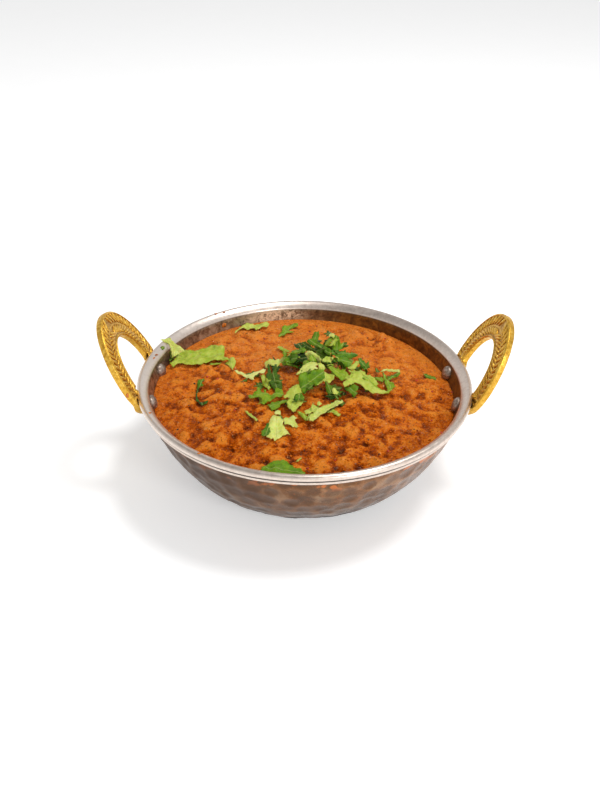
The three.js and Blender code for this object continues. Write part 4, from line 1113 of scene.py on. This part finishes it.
def sauce_material(settings):
    """Reduced tomato and onion masala with oil on it: orange on the meat, red-brown in patches,
    with a fine mealy grain and small oily glints. Painted shade darkens it in the hollows, a
    painted sheen makes it paler towards the back, and pale flecks are painted glints."""
    material, tree, shader, pattern = fresh_material("keema_masala", {
        "fine": (0.8, 4.0, 0.75, 0.3), "mottle": (2.4, 6.0, 0.72, 0.6),
        "wide": (8.0, 3.0, 0.55, 0.8), "dark": (1.0, 3.0, 0.6, 0.4), "pale": (1.1, 3.0, 0.7, 1.4),
        "sheen": (3.5, 4.0, 0.6), "oil": (1.2, 3.0, 0.6, 1.0), "pools": (7.0, 2.0),
    }, Specular_IOR_Level=0.05, IOR=1.45, Coat_Roughness=0.08, Coat_IOR=1.55)
    axes = add(tree, "ShaderNodeSeparateXYZ", {"Vector": pattern["place"]}).outputs
    hollow = add(tree, "ShaderNodeAttribute", attribute_name="hollow").outputs["Fac"]
    # Painted shade: the hollow value makes the sauce darker where it lies lower than around it.
    depth = weighed(tree, mask(tree, (axes["Y"], -30, 50, 0.0, -0.16)), (hollow, 0.4),
                    (pattern["mottle"], 0.7), (pattern["fine"], 0.75), (pattern["wide"], 0.35))
    colour = ramp(tree, mask(tree, (depth, 0.56, 1.28)), (0.0, "#ec8a2a"),
                  (0.25, settings.bright_colour), (0.48, settings.middle_colour),
                  (0.64, "#ac4c02"), (0.8, settings.deep_colour), (1.0, "#572000"))
    # Painted sheen: the sauce is paler towards the back, by this layer and by the lower depth
    # given to it above.
    colour = layered(tree, colour, ("#ee8a40", (axes["Y"], -30, 50, 0.0, 0.25)),
                     ("#6c2a04", (pattern["dark"], 0.58, 0.66, 0.0, 0.75)),
                     # Painted glints: small pale flecks.
                     ("#f4bc80", (pattern["pale"], 0.62, 0.68, 0.0, 0.7)))
    grain = add(tree, "ShaderNodeBump", {"Height": pattern["fine"], "Distance": 0.45 * MM})
    bumps = add(tree, "ShaderNodeBump", {
        "Height": pattern["mottle"], "Distance": 1.0 * MM, "Normal": grain})
    feed(tree, shader, {
        "Base Color": colour, "Roughness": mask(tree, (pattern["sheen"], 0.35, 0.65, 0.16, 0.34)),
        "Coat Weight": mask(tree, (pattern["oil"], 0.55, 0.62),
                            (pattern["pools"], 0.42, 0.6, 0.1, 1.0)),
        "Normal": bumps, "Coat Normal": bumps})
    return material


def crumb_material(name, colour, roughness):
    """Ground spice and char: rough little crumbs, wet with sauce."""
    material, tree, shader, pattern = fresh_material(name, {"shades": (2.3, 3.0)},
                                                            Roughness=roughness)
    value = mask(tree, (pattern["shades"], 0.3, 0.7, 0.5, 1.5))
    feed(tree, shader, {"Base Color": add(tree, "ShaderNodeHueSaturation", {
        "Color": linear(colour), "Value": value})})
    return material


def leaf_material(settings):
    """Fresh coriander leaf: a dark, slightly glossy upper skin and a pale matt underside, with
    side veins that leave the middle one at a slant, a little over a millimetre apart."""
    material, tree, shader, pattern = fresh_material(
        "coriander_leaf", {"mottle": (3.0, 4.0, 0.6, 0.4)}, Roughness=0.48,
        Specular_IOR_Level=0.18, Subsurface_Weight=0.15, Subsurface_Scale=0.0006)
    mottle = pattern["mottle"]
    tone, tint, leaf_place = (
        add(tree, "ShaderNodeAttribute", attribute_name=name).outputs[output]
        for name, output in (("leaf_tone", "Fac"), ("leaf_tint", "Fac"), ("leaf_place", "Vector")))
    axes = add(tree, "ShaderNodeSeparateXYZ", {"Vector": leaf_place}).outputs
    bends = add(tree, "ShaderNodeTexNoise", {
        "Vector": leaf_place, "Scale": 1 / 2.5, "Detail": 3.0})
    across = add(tree, "ShaderNodeMath", {0: axes["Y"]}, operation="ABSOLUTE")
    slant = weighed(tree, axes["X"], (across, -1.15), (bends, 1.1))
    saw = add(tree, "ShaderNodeMath", {0: slant, 1: 0.75}, operation="PINGPONG")
    vein = add(tree, "ShaderNodeMath", {
        0: mask(tree, (saw, 0.14, 0.0, 0.0, 0.7)), 1: mask(tree, (across, 0.42, 0.1)),
    }, operation="MAXIMUM")
    shade = weighed(tree, mask(tree, (mottle, 0.25, 0.75, -0.1, 0.1)), (tone, 1.0))
    # Below the upper side's colour at 0.25 the ramp darkens to a near-black green, which is
    # painted shade.
    colour = ramp(tree, shade, (0.0, "#163802"), (0.25, settings.dark_colour), (0.45, "#6d940c"),
                  (0.65, "#a0b42c"), (0.85, settings.pale_colour), (1.0, "#e0e388"))
    colour = layered(tree, colour, ("#dbdf8a", weighed(tree, 0.0, (vein, 0.24))),
                     ("#8da41a", (tint, 0.0, 1.0, 0.0, 0.25)))
    relief = weighed(tree, vein, (mottle, 0.5))
    feed(tree, shader, {
        "Base Color": colour,
        "Normal": add(tree, "ShaderNodeBump", {"Height": relief, "Distance": 0.2 * MM})})
    return material


def floor_material(settings):
    """Matt white table: it glows a little so that its shadow stays as pale as in the photo."""
    material, tree, shader, pattern = fresh_material(
        "matt_white_table", {"paper": (40.0, 2.0)}, Roughness=0.9, Specular_IOR_Level=0.0,
        Emission_Color=(1, 1, 1, 1), Emission_Strength=settings.floor_glow)
    feed(tree, shader, {
        "Base Color": ramp(tree, pattern["paper"], (0.0, "#f6f6f6"), (1.0, "#fafafa"))})
    return material


# Geometry Nodes

def new_tree(name, *sockets):
    """A geometry tree with a geometry input and output and these named inputs, each with its
    kind and default."""
    tree = bpy.data.node_groups.new(name, "GeometryNodeTree")
    tree.interface.new_socket("Geometry", in_out="INPUT", socket_type="NodeSocketGeometry")
    tree.interface.new_socket("Geometry", in_out="OUTPUT", socket_type="NodeSocketGeometry")
    for label, kind, default in sockets:
        socket = tree.interface.new_socket(label, in_out="INPUT", socket_type="NodeSocket" + kind)
        socket.default_value = default
    return tree, add(tree, "NodeGroupInput").outputs


def close_tree(tree, material, angles, inputs):
    """Ends a tree: copies of a piece on points, turned by their angles, as one real mesh."""
    turn = add(tree, "FunctionNodeEulerToRotation", {0: angles})
    copies = add(tree, "GeometryNodeInstanceOnPoints", {"Rotation": turn, **inputs})
    real = add(tree, "GeometryNodeRealizeInstances", {"Geometry": copies})
    smooth = add(tree, "GeometryNodeSetShadeSmooth", {"Geometry": real})
    shaded = add(tree, "GeometryNodeSetMaterial", {"Geometry": smooth, "Material": material})
    add(tree, "NodeGroupOutput", {0: shaded})
    return tree


def grown(obj, tree, **values):
    """Runs a tree on the object, its inputs set by identifier, and keeps the plain mesh."""
    modifier = obj.modifiers.new(tree.name, "NODES")
    modifier.node_group = tree
    for item in tree.interface.items_tree:
        if item.in_out == "INPUT" and item.name in values:
            modifier[item.identifier] = values[item.name]
    bpy.context.view_layer.update()
    seen = obj.evaluated_get(bpy.context.evaluated_depsgraph_get())
    mesh = bpy.data.meshes.new_from_object(seen)
    mesh.name = obj.name
    obj.modifiers.clear()
    obj.data = mesh


def rivet_tree(material):
    """A domed head with a shank at each point, its axis turned to the point's own direction."""
    tree, given = new_tree(
        "rivets", ("Head radius", "Float", 3.6 * MM), ("Head height", "Float", 2.2 * MM),
        ("Shank radius", "Float", 1.6 * MM), ("Length", "Float", 8.6 * MM))
    ball = add(tree, "GeometryNodeMeshUVSphere", {"Segments": 40, "Rings": 24, "Radius": 1.0})
    size = add(tree, "ShaderNodeCombineXYZ", {
        "X": given["Head radius"], "Y": given["Head radius"], "Z": given["Head height"]})
    head = add(tree, "GeometryNodeTransform", {"Geometry": ball, "Scale": size})
    rod = add(tree, "GeometryNodeMeshCylinder", {
        "Vertices": 32, "Radius": given["Shank radius"], "Depth": given["Length"]})
    half = add(tree, "ShaderNodeMath", {0: given["Length"], 1: -0.5}, operation="MULTIPLY")
    down = add(tree, "ShaderNodeCombineXYZ", {"Z": half})
    shank = add(tree, "GeometryNodeTransform", {"Geometry": rod, "Translation": down})
    both = add(tree, "GeometryNodeJoinGeometry", {"Geometry": head})
    feed(tree, both, {"Geometry": shank})
    angles = add(tree, "GeometryNodeInputNamedAttribute", {"Name": "turn"},
                 data_type="FLOAT_VECTOR")
    return close_tree(tree, material, angles, {"Points": given["Geometry"], "Instance": both})


def pattern_tree(material):
    """A small raised leaf at each point: the cast pattern of the handles."""
    tree, given = new_tree(
        "raised_leaves", ("Leaf length", "Float", 8.0 * MM), ("Leaf width", "Float", 1.6 * MM),
        ("Leaf height", "Float", 1.1 * MM))
    ball = add(tree, "GeometryNodeMeshUVSphere", {"Segments": 8, "Rings": 6, "Radius": 0.5})
    size = add(tree, "ShaderNodeCombineXYZ", {
        "X": given["Leaf length"], "Y": given["Leaf width"], "Z": given["Leaf height"]})
    leaf = add(tree, "GeometryNodeTransform", {"Geometry": ball, "Scale": size})
    turn, grow = (add(tree, "GeometryNodeInputNamedAttribute", {"Name": name},
                      data_type="FLOAT_VECTOR") for name in ("turn", "grow"))
    return close_tree(tree, material, turn, {
        "Points": given["Geometry"], "Instance": leaf, "Scale": grow})


def crumb_tree(name, material):
    """Crumbs sown over a surface: as many to a square metre as asked, in a range of sizes."""
    tree, given = new_tree(
        name, ("Crumbs per square metre", "Float", 10000.0), ("Smallest", "Float", 0.3 * MM),
        ("Largest", "Float", 0.8 * MM), ("Seed", "Int", 1))
    seed = {"Seed": given["Seed"]}
    where = add(tree, "GeometryNodeInputNamedAttribute", {"Name": "grainy"}, data_type="FLOAT")
    density = add(tree, "ShaderNodeMath", {0: where, 1: given["Crumbs per square metre"]},
                  operation="MULTIPLY")
    spots = add(tree, "GeometryNodeDistributePointsOnFaces", {
        "Mesh": given["Geometry"], "Density": density, **seed})
    crumb = add(tree, "GeometryNodeMeshIcoSphere", {"Radius": 0.5, "Subdivisions": 2})
    size = add(tree, "FunctionNodeRandomValue", {
        "Min": given["Smallest"], "Max": given["Largest"], **seed}, data_type="FLOAT")
    shapes = ((0.6, 0.6, 0.5), (1.3, 1.0, 0.9))
    turns = ((-0.5, -0.5, 0.0), (0.5, 0.5, 6.283))
    shape, angles = (
        add(tree, "FunctionNodeRandomValue", {0: low, 1: high, **seed}, data_type="FLOAT_VECTOR")
        for low, high in (shapes, turns))
    scale = add(tree, "ShaderNodeVectorMath", {0: shape, "Scale": size}, operation="SCALE")
    return close_tree(tree, material, angles, {
        "Points": spots, "Instance": crumb, "Scale": scale})


# Settings

def length(name, description, default, **more):
    """A length in metres, from millimetres."""
    return FloatProperty(name=name, description=description, default=default * MM, min=0.0,
                         unit="LENGTH", subtype="DISTANCE", precision=5, **more)


def tint(name, description, default):
    """A colour, from its sRGB hex value."""
    return FloatVectorProperty(name=name, description=description, default=linear(default),
                               size=4, min=0.0, max=1.0, subtype="COLOR")


def count(name, description, default):
    """A whole number."""
    return IntProperty(name=name, description=description, default=default, min=0)


def ratio(name, description, default):
    """A number without a unit."""
    return FloatProperty(name=name, description=description, default=default, min=0.0)


class KeemaBowlSettings(bpy.types.PropertyGroup):
    """Sizes and colours of the bowl, its handles and its rivets"""

    dent_count: count("Hammer marks", "How many hammer marks cover the copper", 420)
    dent_width: length("Mark width", "Middle width of a hammer mark", 8.5)
    dent_depth: length("Mark depth", "Depth of a hammer mark", 0.5)
    border_height: length("Raised line", "Height of the lines along the handles' edges", 0.35)
    leaf_pitch: length("Pattern pitch", "Distance between the raised leaves of a handle", 2.5)
    leaf_length: length("Pattern leaf", "Length of a raised leaf of a handle", 8.0)
    leaf_height: length("Pattern height", "How far a raised leaf stands out", 0.55)
    rivet_radius: length("Rivet radius", "Radius of a rivet's head", 3.6)
    rivet_height: length("Rivet height", "Height of a rivet's head", 2.2)
    steel_colour: tint("Steel", "Colour of the satin steel", "#dccdc1")
    # The sauce film's colour also serves as the painted reflection of the curry on the wall's
    # right.
    film_colour: tint("Sauce film", "Colour of the dried film inside the bowl", "#6c430e")
    copper_colour: tint("Copper", "Middle colour of the copper", "#8c5f3a")
    brass_colour: tint("Brass", "Middle colour of the brass", "#e6b343")


class KeemaCurrySettings(bpy.types.PropertyGroup):
    """Sizes and colours of the curry"""

    ripple: length("Fine relief", "Height of the finest unevenness of the sauce", 0.12)
    grain_count: count("Grains of mince", "Grains of mince that show in the surface", 5200)
    pit_count: count("Pits", "Small deep pits in the surface", 60)
    loose_grains: ratio("Loose grains", "Grains on top, to a square centimetre", 9.0)
    grain_size: length("Grain size", "Largest width of a grain on top", 1.5)
    speck_density: ratio("Black specks", "Burnt specks to a square centimetre", 0.8)
    speck_size: length("Speck size", "Largest width of a burnt speck", 1.2)
    flake_density: ratio("Chilli flakes", "Flakes to a square centimetre", 0.5)
    flake_size: length("Flake size", "Largest width of a flake", 1.5)
    bright_colour: tint("Bright sauce", "Colour of thick sauce on the meat", "#e47c1e")
    middle_colour: tint("Sauce", "Middle colour of the sauce", "#d26206")
    deep_colour: tint("Deep sauce", "Colour of the sauce in hollows", "#963c00")


class KeemaCorianderSettings(bpy.types.PropertyGroup):
    """Sizes and colours of the chopped coriander"""

    thickness: length("Thickness", "Thickness of a leaf", 0.42)
    wave: length("Wave", "Height of the waves in a leaf", 0.95)
    hidden_count: count("Lower leaves", "Leaves under and between the heap's upper ones", 120)
    dark_colour: tint("Upper side", "Colour of the leaf's upper side", "#3a6c05")
    pale_colour: tint("Underside", "Colour of the leaf's underside", "#cdd562")


class KeemaStageSettings(bpy.types.PropertyGroup):
    """Floor, lights and camera"""

    floor_glow: ratio("Floor glow", "Light that the table gives off", 0.36)
    world_light: ratio("World light", "Strength of the light all round", 0.95)
    key_power: FloatProperty(name="Key light", description="Power of the light overhead",
                             default=7.0, min=0.0, unit="POWER")
    front_power: FloatProperty(name="Front light", description="Power of the light in front",
                               default=4.0, min=0.0, unit="POWER")
    focal_length: FloatProperty(name="Focal length", description="Focal length of the camera",
                                default=37.81, min=1.0, subtype="DISTANCE_CAMERA")


# Pieces

def copper_mesh(settings):
    """The copper jacket: a smooth bowl of sheet with round hammer marks beaten into it."""
    curve = wall_curve(0)
    z = np.linspace(0, 1, COPPER_STEPS + 1) ** 1.25 * COPPER_TOP_Z
    radius = on_curve(curve, z)
    slope = np.gradient(radius, z)
    slope[0] = slope[1]
    run = run_along(radius, z)
    turn = circle(COPPER_SIDES)
    draw = np.random.default_rng(7)
    depth = np.zeros((len(z), COPPER_SIDES))
    rows = max(1, round(run[-1] / MARK_ROW_PITCH))
    for row in range(rows):
        along = (row + 0.6) / rows * run[-1]
        ring = np.interp(along, run, radius)
        number = round(settings.dent_count / rows * ring / radius.mean())
        for k in range(number):
            angle = (k + 0.5 * (row % 2) + draw.uniform(-0.25, 0.25)) * 2 * math.pi / number
            reach = settings.dent_width / MM * draw.uniform(0.8, 1.25) / 2
            middle = along + draw.uniform(-1.8, 1.8)
            deep = settings.dent_depth / MM * draw.uniform(0.5, 1.3)
            across = (turn - angle + math.pi) % (2 * math.pi) - math.pi
            gap = np.hypot(across * radius[:, None], run[:, None] - middle) / reach
            np.maximum(depth, deep * np.clip(1 - gap ** 2, 0, 1), out=depth)
    # The sheet is a little uneven all over, and the marks fade out at the foot and at the hem.
    depth += 0.1 * (1 + fractal(np.cos(turn) * 3 + 0 * run[:, None],
                                np.sin(turn) * 3 + run[:, None] / 22, 51))
    fade = np.clip(z / 2.5, 0, 1) * np.clip((HEM_BOTTOM_Z - 0.5 - z) / 1.5, 0, 1)
    shift = depth * fade[:, None]
    lean = np.hypot(1, slope)[:, None]
    outer_r = radius[:, None] - shift / lean
    outer_z = z[:, None] + shift * slope[:, None] / lean
    inner_r, inner_z = all_round(wall_curve(COPPER_SHEET)[::-4], COPPER_SIDES)
    points, faces = turned(np.vstack([outer_r, inner_r]), np.vstack([outer_z, inner_z]),
                           (0, COPPER_SHEET))
    mark = (depth / MARK_DEPTH * fade[:, None]).ravel()
    mark = np.concatenate([mark, np.zeros(inner_r.size + 2)])
    return points, faces, mark


def pattern_spots(side, pitch, leaf_length):
    """Where a handle's raised leaves are: place, turn and growth."""
    _, lean, _, sign = HANDLES[side]
    across_axis = Vector((0, sign, 0))
    up_axis = Vector((sign * math.sin(lean), 0, math.cos(lean)))
    inward = Vector((-sign * math.cos(lean), 0, math.sin(lean)))
    spots = []
    for half in (1, -1):
        angles = np.radians(np.linspace(-62, 84, 400))
        across, up, width = ring_point(angles, 0.5)
        run = run_along(across, up)
        for along in np.arange(pitch, run[-1] - 1, pitch):
            i = int(np.searchsorted(run, along)) - 1
            middle = (across[i] * half, up[i])
            tangent = math.atan2(up[i + 1] - up[i], (across[i + 1] - across[i]) * half)
            room = width[i] / 2 - FIELD_EDGE
            for slant in (PATTERN_SLANT, -PATTERN_SLANT):
                size = min(leaf_length, room / abs(math.sin(slant)))
                heading = tangent + slant
                step = 0.3 + size / 2
                a = middle[0] + step * math.cos(heading)
                u = middle[1] + step * math.sin(heading)
                if u < FOOT_TOP + 0.6:
                    continue
                x_axis = across_axis * math.cos(heading) + up_axis * math.sin(heading)
                turn = Matrix((x_axis, inward.cross(x_axis), inward)).transposed()
                spots.append((plate_point(side, np.array(a), np.array(u), np.array(0.22)), turn,
                              (size / leaf_length, 1, 1)))
    return spots


def curry_mesh(maps):
    """The body of curry: its detailed top, and under it the shape of the bowl."""
    height, hollow, grainy = maps
    reach, angle, faces, edge = disc(CURRY_RINGS)
    wall = wall_curve(LINER_INNER_INSET + 0.05)
    edge_radius = np.full(len(angle), CURRY_RADIUS)
    for _ in range(4):
        edge_z = sample(height, edge_radius * np.cos(angle), edge_radius * np.sin(angle))
        edge_radius = on_curve(wall, edge_z)
    radius = reach * edge_radius
    x, y = radius * np.cos(angle), radius * np.sin(angle)
    z = sample(height, x, y)
    top = np.column_stack([x, y, z])
    points, above, number = [top], edge, len(edge)
    turn = angle[edge.start:]
    levels = wall[0, 1] + (CURRY_EDGE_Z - 1.6 - wall[0, 1]) * np.linspace(1, 0, 9) ** 1.5
    for level in levels:
        ring = on_curve(wall, level)
        points.append(np.column_stack([ring * np.cos(turn), ring * np.sin(turn),
                                       np.full(number, level)]))
        below = range(above.stop, above.stop + number)
        for k in range(number):
            m = (k + 1) % number
            faces.append((above[k], below[k], below[m], above[m]))
        above = below
    points.append([[0, 0, levels[-1]]])
    faces += [(above[k], above.stop, above[(k + 1) % number]) for k in range(number)]
    rest = above.stop + 1 - len(top)
    fields = {
        "hollow": np.concatenate([sample(hollow, x, y), np.full(rest, 1.0)]),
        "grainy": np.concatenate([sample(grainy, x, y), np.zeros(rest)]),
    }
    return np.vstack(points), faces, fields, top


def spot_object(name, spots, material):
    """Small flattened drops, each (x, y, z), (radius across, radius up), normal direction."""
    points, faces = [], []
    draw = np.random.default_rng(5)
    bend = math.pi / 2 * (np.arange(1, DROP_RINGS) / DROP_RINGS)[:, None] ** 0.8
    for place, size, normal in spots:
        turn = Vector(normal).to_track_quat("Z", "Y").to_matrix()
        wobble = 1 + 0.18 * draw.uniform(-1, 1, DROP_SIDES)
        top = DROP_HEIGHT * min(size)
        drop, skin = turned(np.cos(bend) * wobble, top * np.sin(bend) + 0 * wobble,
                            (-DROP_DEPTH, top))
        faces += [tuple(i + len(points) for i in face) for face in skin]
        points += [np.array(place) + turn @ Vector(p * (*size, 1)) for p in drop]
    return make_object(name, points, faces, material)


def points_object(name, places, turns, **fields):
    """Loose points that a geometry tree puts its copies on."""
    fields["turn"] = [tuple(turn.to_euler("XYZ")) for turn in turns]
    return make_object(name, places, attributes=fields)


# Operators

class PieceOperator(bpy.types.Operator):
    """Shared by the operators that build the pieces"""

    bl_idname = "keema.piece"
    bl_label = "Build piece"
    bl_options = {"REGISTER", "UNDO"}

    def execute(self, context):
        self.build(context.scene)
        return {"FINISHED"}


class KEEMA_OT_liner(PieceOperator):
    """Builds the steel liner with its rolled rim"""

    bl_idname = "keema.liner"
    bl_label = "Steel liner"

    def build(self, scene):
        radius, height = all_round(liner_profile(), LINER_SIDES)
        points, faces = turned(radius, height, (LINER_INSET, LINER_INNER_INSET))
        material = steel_material(scene.keema_bowl)
        obj = make_object("satin_steel_bowl", points, faces, material)
        finish_piece(obj, "steel", "steel_liner")


class KEEMA_OT_jacket(PieceOperator):
    """Builds the hammered copper jacket"""

    bl_idname = "keema.jacket"
    bl_label = "Copper jacket"

    def build(self, scene):
        points, faces, mark = copper_mesh(scene.keema_bowl)
        material = copper_material(scene.keema_bowl)
        obj = make_object("hammered_jacket", points, faces, material, {"hammer_mark": mark})
        finish_piece(obj, "copper", "copper_jacket")


class KEEMA_OT_handles(PieceOperator):
    """Builds both cast handles and the raised leaves on them"""

    bl_idname = "keema.handles"
    bl_label = "Brass handles"

    def build(self, scene):
        settings = scene.keema_bowl
        brass = brass_material(settings)
        spots = []
        for side in HANDLES:
            points, faces, recess = handle_mesh(side, settings.border_height / MM)
            obj = make_object("cast_handle_" + side, points, faces, brass, {"recess": recess})
            finish_piece(obj, "brass", "handle_" + side)
            spots += pattern_spots(side, settings.leaf_pitch / MM, settings.leaf_length / MM)
        places, turns, grows = zip(*spots)
        obj = points_object("raised_leaves", places, turns, grow=grows)
        grown(obj, pattern_tree(brass), **{"Leaf length": settings.leaf_length,
                                           "Leaf height": 2 * settings.leaf_height})
        finish_piece(obj, "brass")


class KEEMA_OT_rivets(PieceOperator):
    """Builds the four rivets that hold the handles"""

    bl_idname = "keema.rivets"
    bl_label = "Rivets"

    def build(self, scene):
        settings = scene.keema_bowl
        places, turns, names = [], [], []
        for end, label in ((0, "right"), (math.pi, "left")):
            for lean, spot in ((-RIVET_ANGLE, "front"), (RIVET_ANGLE, "back")):
                angle = end + (lean if end == 0 else -lean)
                place, out = rivet_seat(angle)
                places.append(place - 0.25 * np.array(out))
                turns.append((-out).to_track_quat("Z", "Y").to_matrix())
                names.append(f"rivet_{label}_{spot}")
        obj = points_object("dull_rivets", places, turns)
        grown(obj, rivet_tree(rivet_material()),
              **{"Head radius": settings.rivet_radius, "Head height": settings.rivet_height})
        finish_piece(obj, "steel", *names)


class KEEMA_OT_curry(PieceOperator):
    """Builds the curry with its loose grains, specks and flakes"""

    bl_idname = "keema.curry"
    bl_label = "Curry"

    def build(self, scene):
        settings = scene.keema_curry
        maps = curry_map(settings)
        points, faces, fields, top = curry_mesh(maps)
        sauce = sauce_material(settings)
        obj = make_object("keema_surface", points, faces, sauce, fields)
        finish_piece(obj, "curry", "keema_curry")
        top_faces = [f for f in faces if max(f) < len(top)]
        specks = crumb_material("charred_speck", "#1d0e06", 0.55)
        flakes = crumb_material("chilli_flake", "#a82a08", 0.35)
        # Name, material, number to a square centimetre, smallest and largest width, seed
        kinds = (
            ("mince_grains", sauce, settings.loose_grains, 0.5, settings.grain_size / MM, 3),
            ("burnt_specks", specks, settings.speck_density, 0.3, settings.speck_size / MM, 8),
            ("chilli_flakes", flakes, settings.flake_density, 0.5, settings.flake_size / MM, 5),
        )
        for name, material, density, smallest, largest, seed in kinds:
            crumbs = make_object(name, top, top_faces, material,
                                 {"grainy": fields["grainy"][:len(top)]})
            grown(crumbs, crumb_tree(name, material), **{
                "Crumbs per square metre": density * 1e4, "Smallest": smallest * MM,
                "Largest": largest * MM, "Seed": seed})
            finish_piece(crumbs, "curry")


class KEEMA_OT_spots(PieceOperator):
    """Builds the drops of sauce on the rim, on the wall and on the handles"""

    bl_idname = "keema.spots"
    bl_label = "Sauce spots"

    def build(self, scene):
        material = crumb_material("dried_sauce", "#c06a16", 0.4)
        obj = spot_object("sauce_drops", SAUCE_SPOTS, material)
        finish_piece(obj, "curry")


class KEEMA_OT_coriander(PieceOperator):
    """Builds the heap of chopped coriander and the leaves that lie alone"""

    bl_idname = "keema.coriander"
    bl_label = "Coriander"

    def build(self, scene):
        settings = scene.keema_coriander
        height = curry_map(scene.keema_curry)[0]
        material = leaf_material(settings)

        def ground(x, y):
            """Height of what a leaf lies on: the curry, the wall or the rim."""
            radius = np.hypot(x, y)
            curry = np.where(radius < CELL * HALF_CELLS, sample(height, x, y), NOWHERE)
            return np.where(radius > RIM_RADIUS, NOWHERE, np.maximum(curry, lip_height(radius)))

        for k, (node, outlines) in enumerate(LEAVES.items()):
            name = node.replace("coriander", "chopped")
            leaves = [(tone, np.array(corners) / 10) for tone, *corners in outlines]
            if node == "coriander_heap":
                leaves = [*leaves, *under_leaves(leaves, settings.hidden_count)]
            obj = leaf_object(name, leaves, material, settings, ground, 100 * k + 1)
            slot = "leaf_light" if np.mean([tone for tone, _ in leaves]) > 0.5 else "leaf_dark"
            finish_piece(obj, slot, *([node] if node.startswith("coriander") else []))


class KEEMA_OT_stage(PieceOperator):
    """Builds the table, the lights and the camera"""

    bl_idname = "keema.stage"
    bl_label = "Table, lights and camera"

    def build(self, scene):
        settings = scene.keema_stage
        material = floor_material(settings)
        ring = [(FLOOR_RADIUS * math.cos(turn), FLOOR_RADIUS * math.sin(turn), -FLOOR_DROP)
                for turn in circle(64)]
        floor = make_object("white_table", ring, [tuple(range(64))], material, smooth=False)
        world = bpy.data.worlds.new("white_studio")
        world.use_nodes = True
        tree = world.node_tree
        direction = add(tree, "ShaderNodeTexCoord").outputs["Generated"]
        rise = add(tree, "ShaderNodeSeparateXYZ", {"Vector": direction}).outputs["Z"]
        glow = ramp(tree, rise, (0.0, "#ffffff"), (0.12, "#f6f6f6"), (0.45, "#e0e0e0"),
                    (0.8, "#9c9c9c"))
        feed(tree, tree.nodes["Background"], {"Color": glow, "Strength": settings.world_light})
        scene.world = world
        powers = (settings.key_power, settings.front_power)
        for (name, place, size), power in zip(LIGHTS, powers):
            lamp = bpy.data.lights.new(name, "AREA")
            lamp.shape, (lamp.size, lamp.size_y), lamp.energy = "ELLIPSE", size, power
            obj = bpy.data.objects.new(name, lamp)
            obj.location = place
            obj.rotation_euler = (-Vector(place)).to_track_quat("-Z", "Y").to_euler()
            scene.collection.objects.link(obj)
        data = bpy.data.cameras.new("photo_view")
        data.sensor_width, data.lens = 36.0, settings.focal_length
        data.shift_x, data.shift_y = CAMERA_SHIFT
        data.clip_start, data.clip_end = 0.01, 60
        camera = bpy.data.objects.new("photo_view", data)
        turn = Matrix((CAMERA_RIGHT, CAMERA_UP, CAMERA_BACK)).transposed().to_4x4()
        camera.matrix_world = Matrix.Translation(Vector(CAMERA_PLACE) * MM) @ turn
        scene.collection.objects.link(camera)
        scene.camera = camera
        scene.view_settings.view_transform = "Standard"
        scene.view_settings.look = "None"


class KEEMA_PT_panel(bpy.types.Panel):
    """Lists the operators and the settings"""

    bl_label = "Keema bowl"
    bl_space_type = "VIEW_3D"
    bl_region_type = "UI"
    bl_category = "Keema bowl"

    def draw(self, context):
        layout = self.layout
        for operator in OPERATORS:
            layout.operator(operator.bl_idname)
        for name in SETTINGS:
            box = layout.box()
            group = getattr(context.scene, name)
            for key in type(group).__annotations__:
                box.prop(group, key)


OPERATORS = (KEEMA_OT_stage, KEEMA_OT_liner, KEEMA_OT_jacket, KEEMA_OT_handles, KEEMA_OT_rivets,
             KEEMA_OT_curry, KEEMA_OT_spots, KEEMA_OT_coriander)
SETTINGS = {
    "keema_bowl": KeemaBowlSettings,
    "keema_curry": KeemaCurrySettings,
    "keema_coriander": KeemaCorianderSettings,
    "keema_stage": KeemaStageSettings,
}


def register():
    for group in SETTINGS.values():
        bpy.utils.register_class(group)
    for operator in OPERATORS:
        bpy.utils.register_class(operator)
    bpy.utils.register_class(KEEMA_PT_panel)
    for name, group in SETTINGS.items():
        setattr(bpy.types.Scene, name, PointerProperty(type=group))


def unregister():
    for name in SETTINGS:
        delattr(bpy.types.Scene, name)
    bpy.utils.unregister_class(KEEMA_PT_panel)
    for operator in reversed(OPERATORS):
        bpy.utils.unregister_class(operator)
    for group in reversed(SETTINGS.values()):
        bpy.utils.unregister_class(group)


def main():
    """Builds every piece in order."""
    register()
    for operator in OPERATORS:
        getattr(bpy.ops.keema, operator.bl_idname.split(".")[1])()


if __name__ == "__main__":
    main()
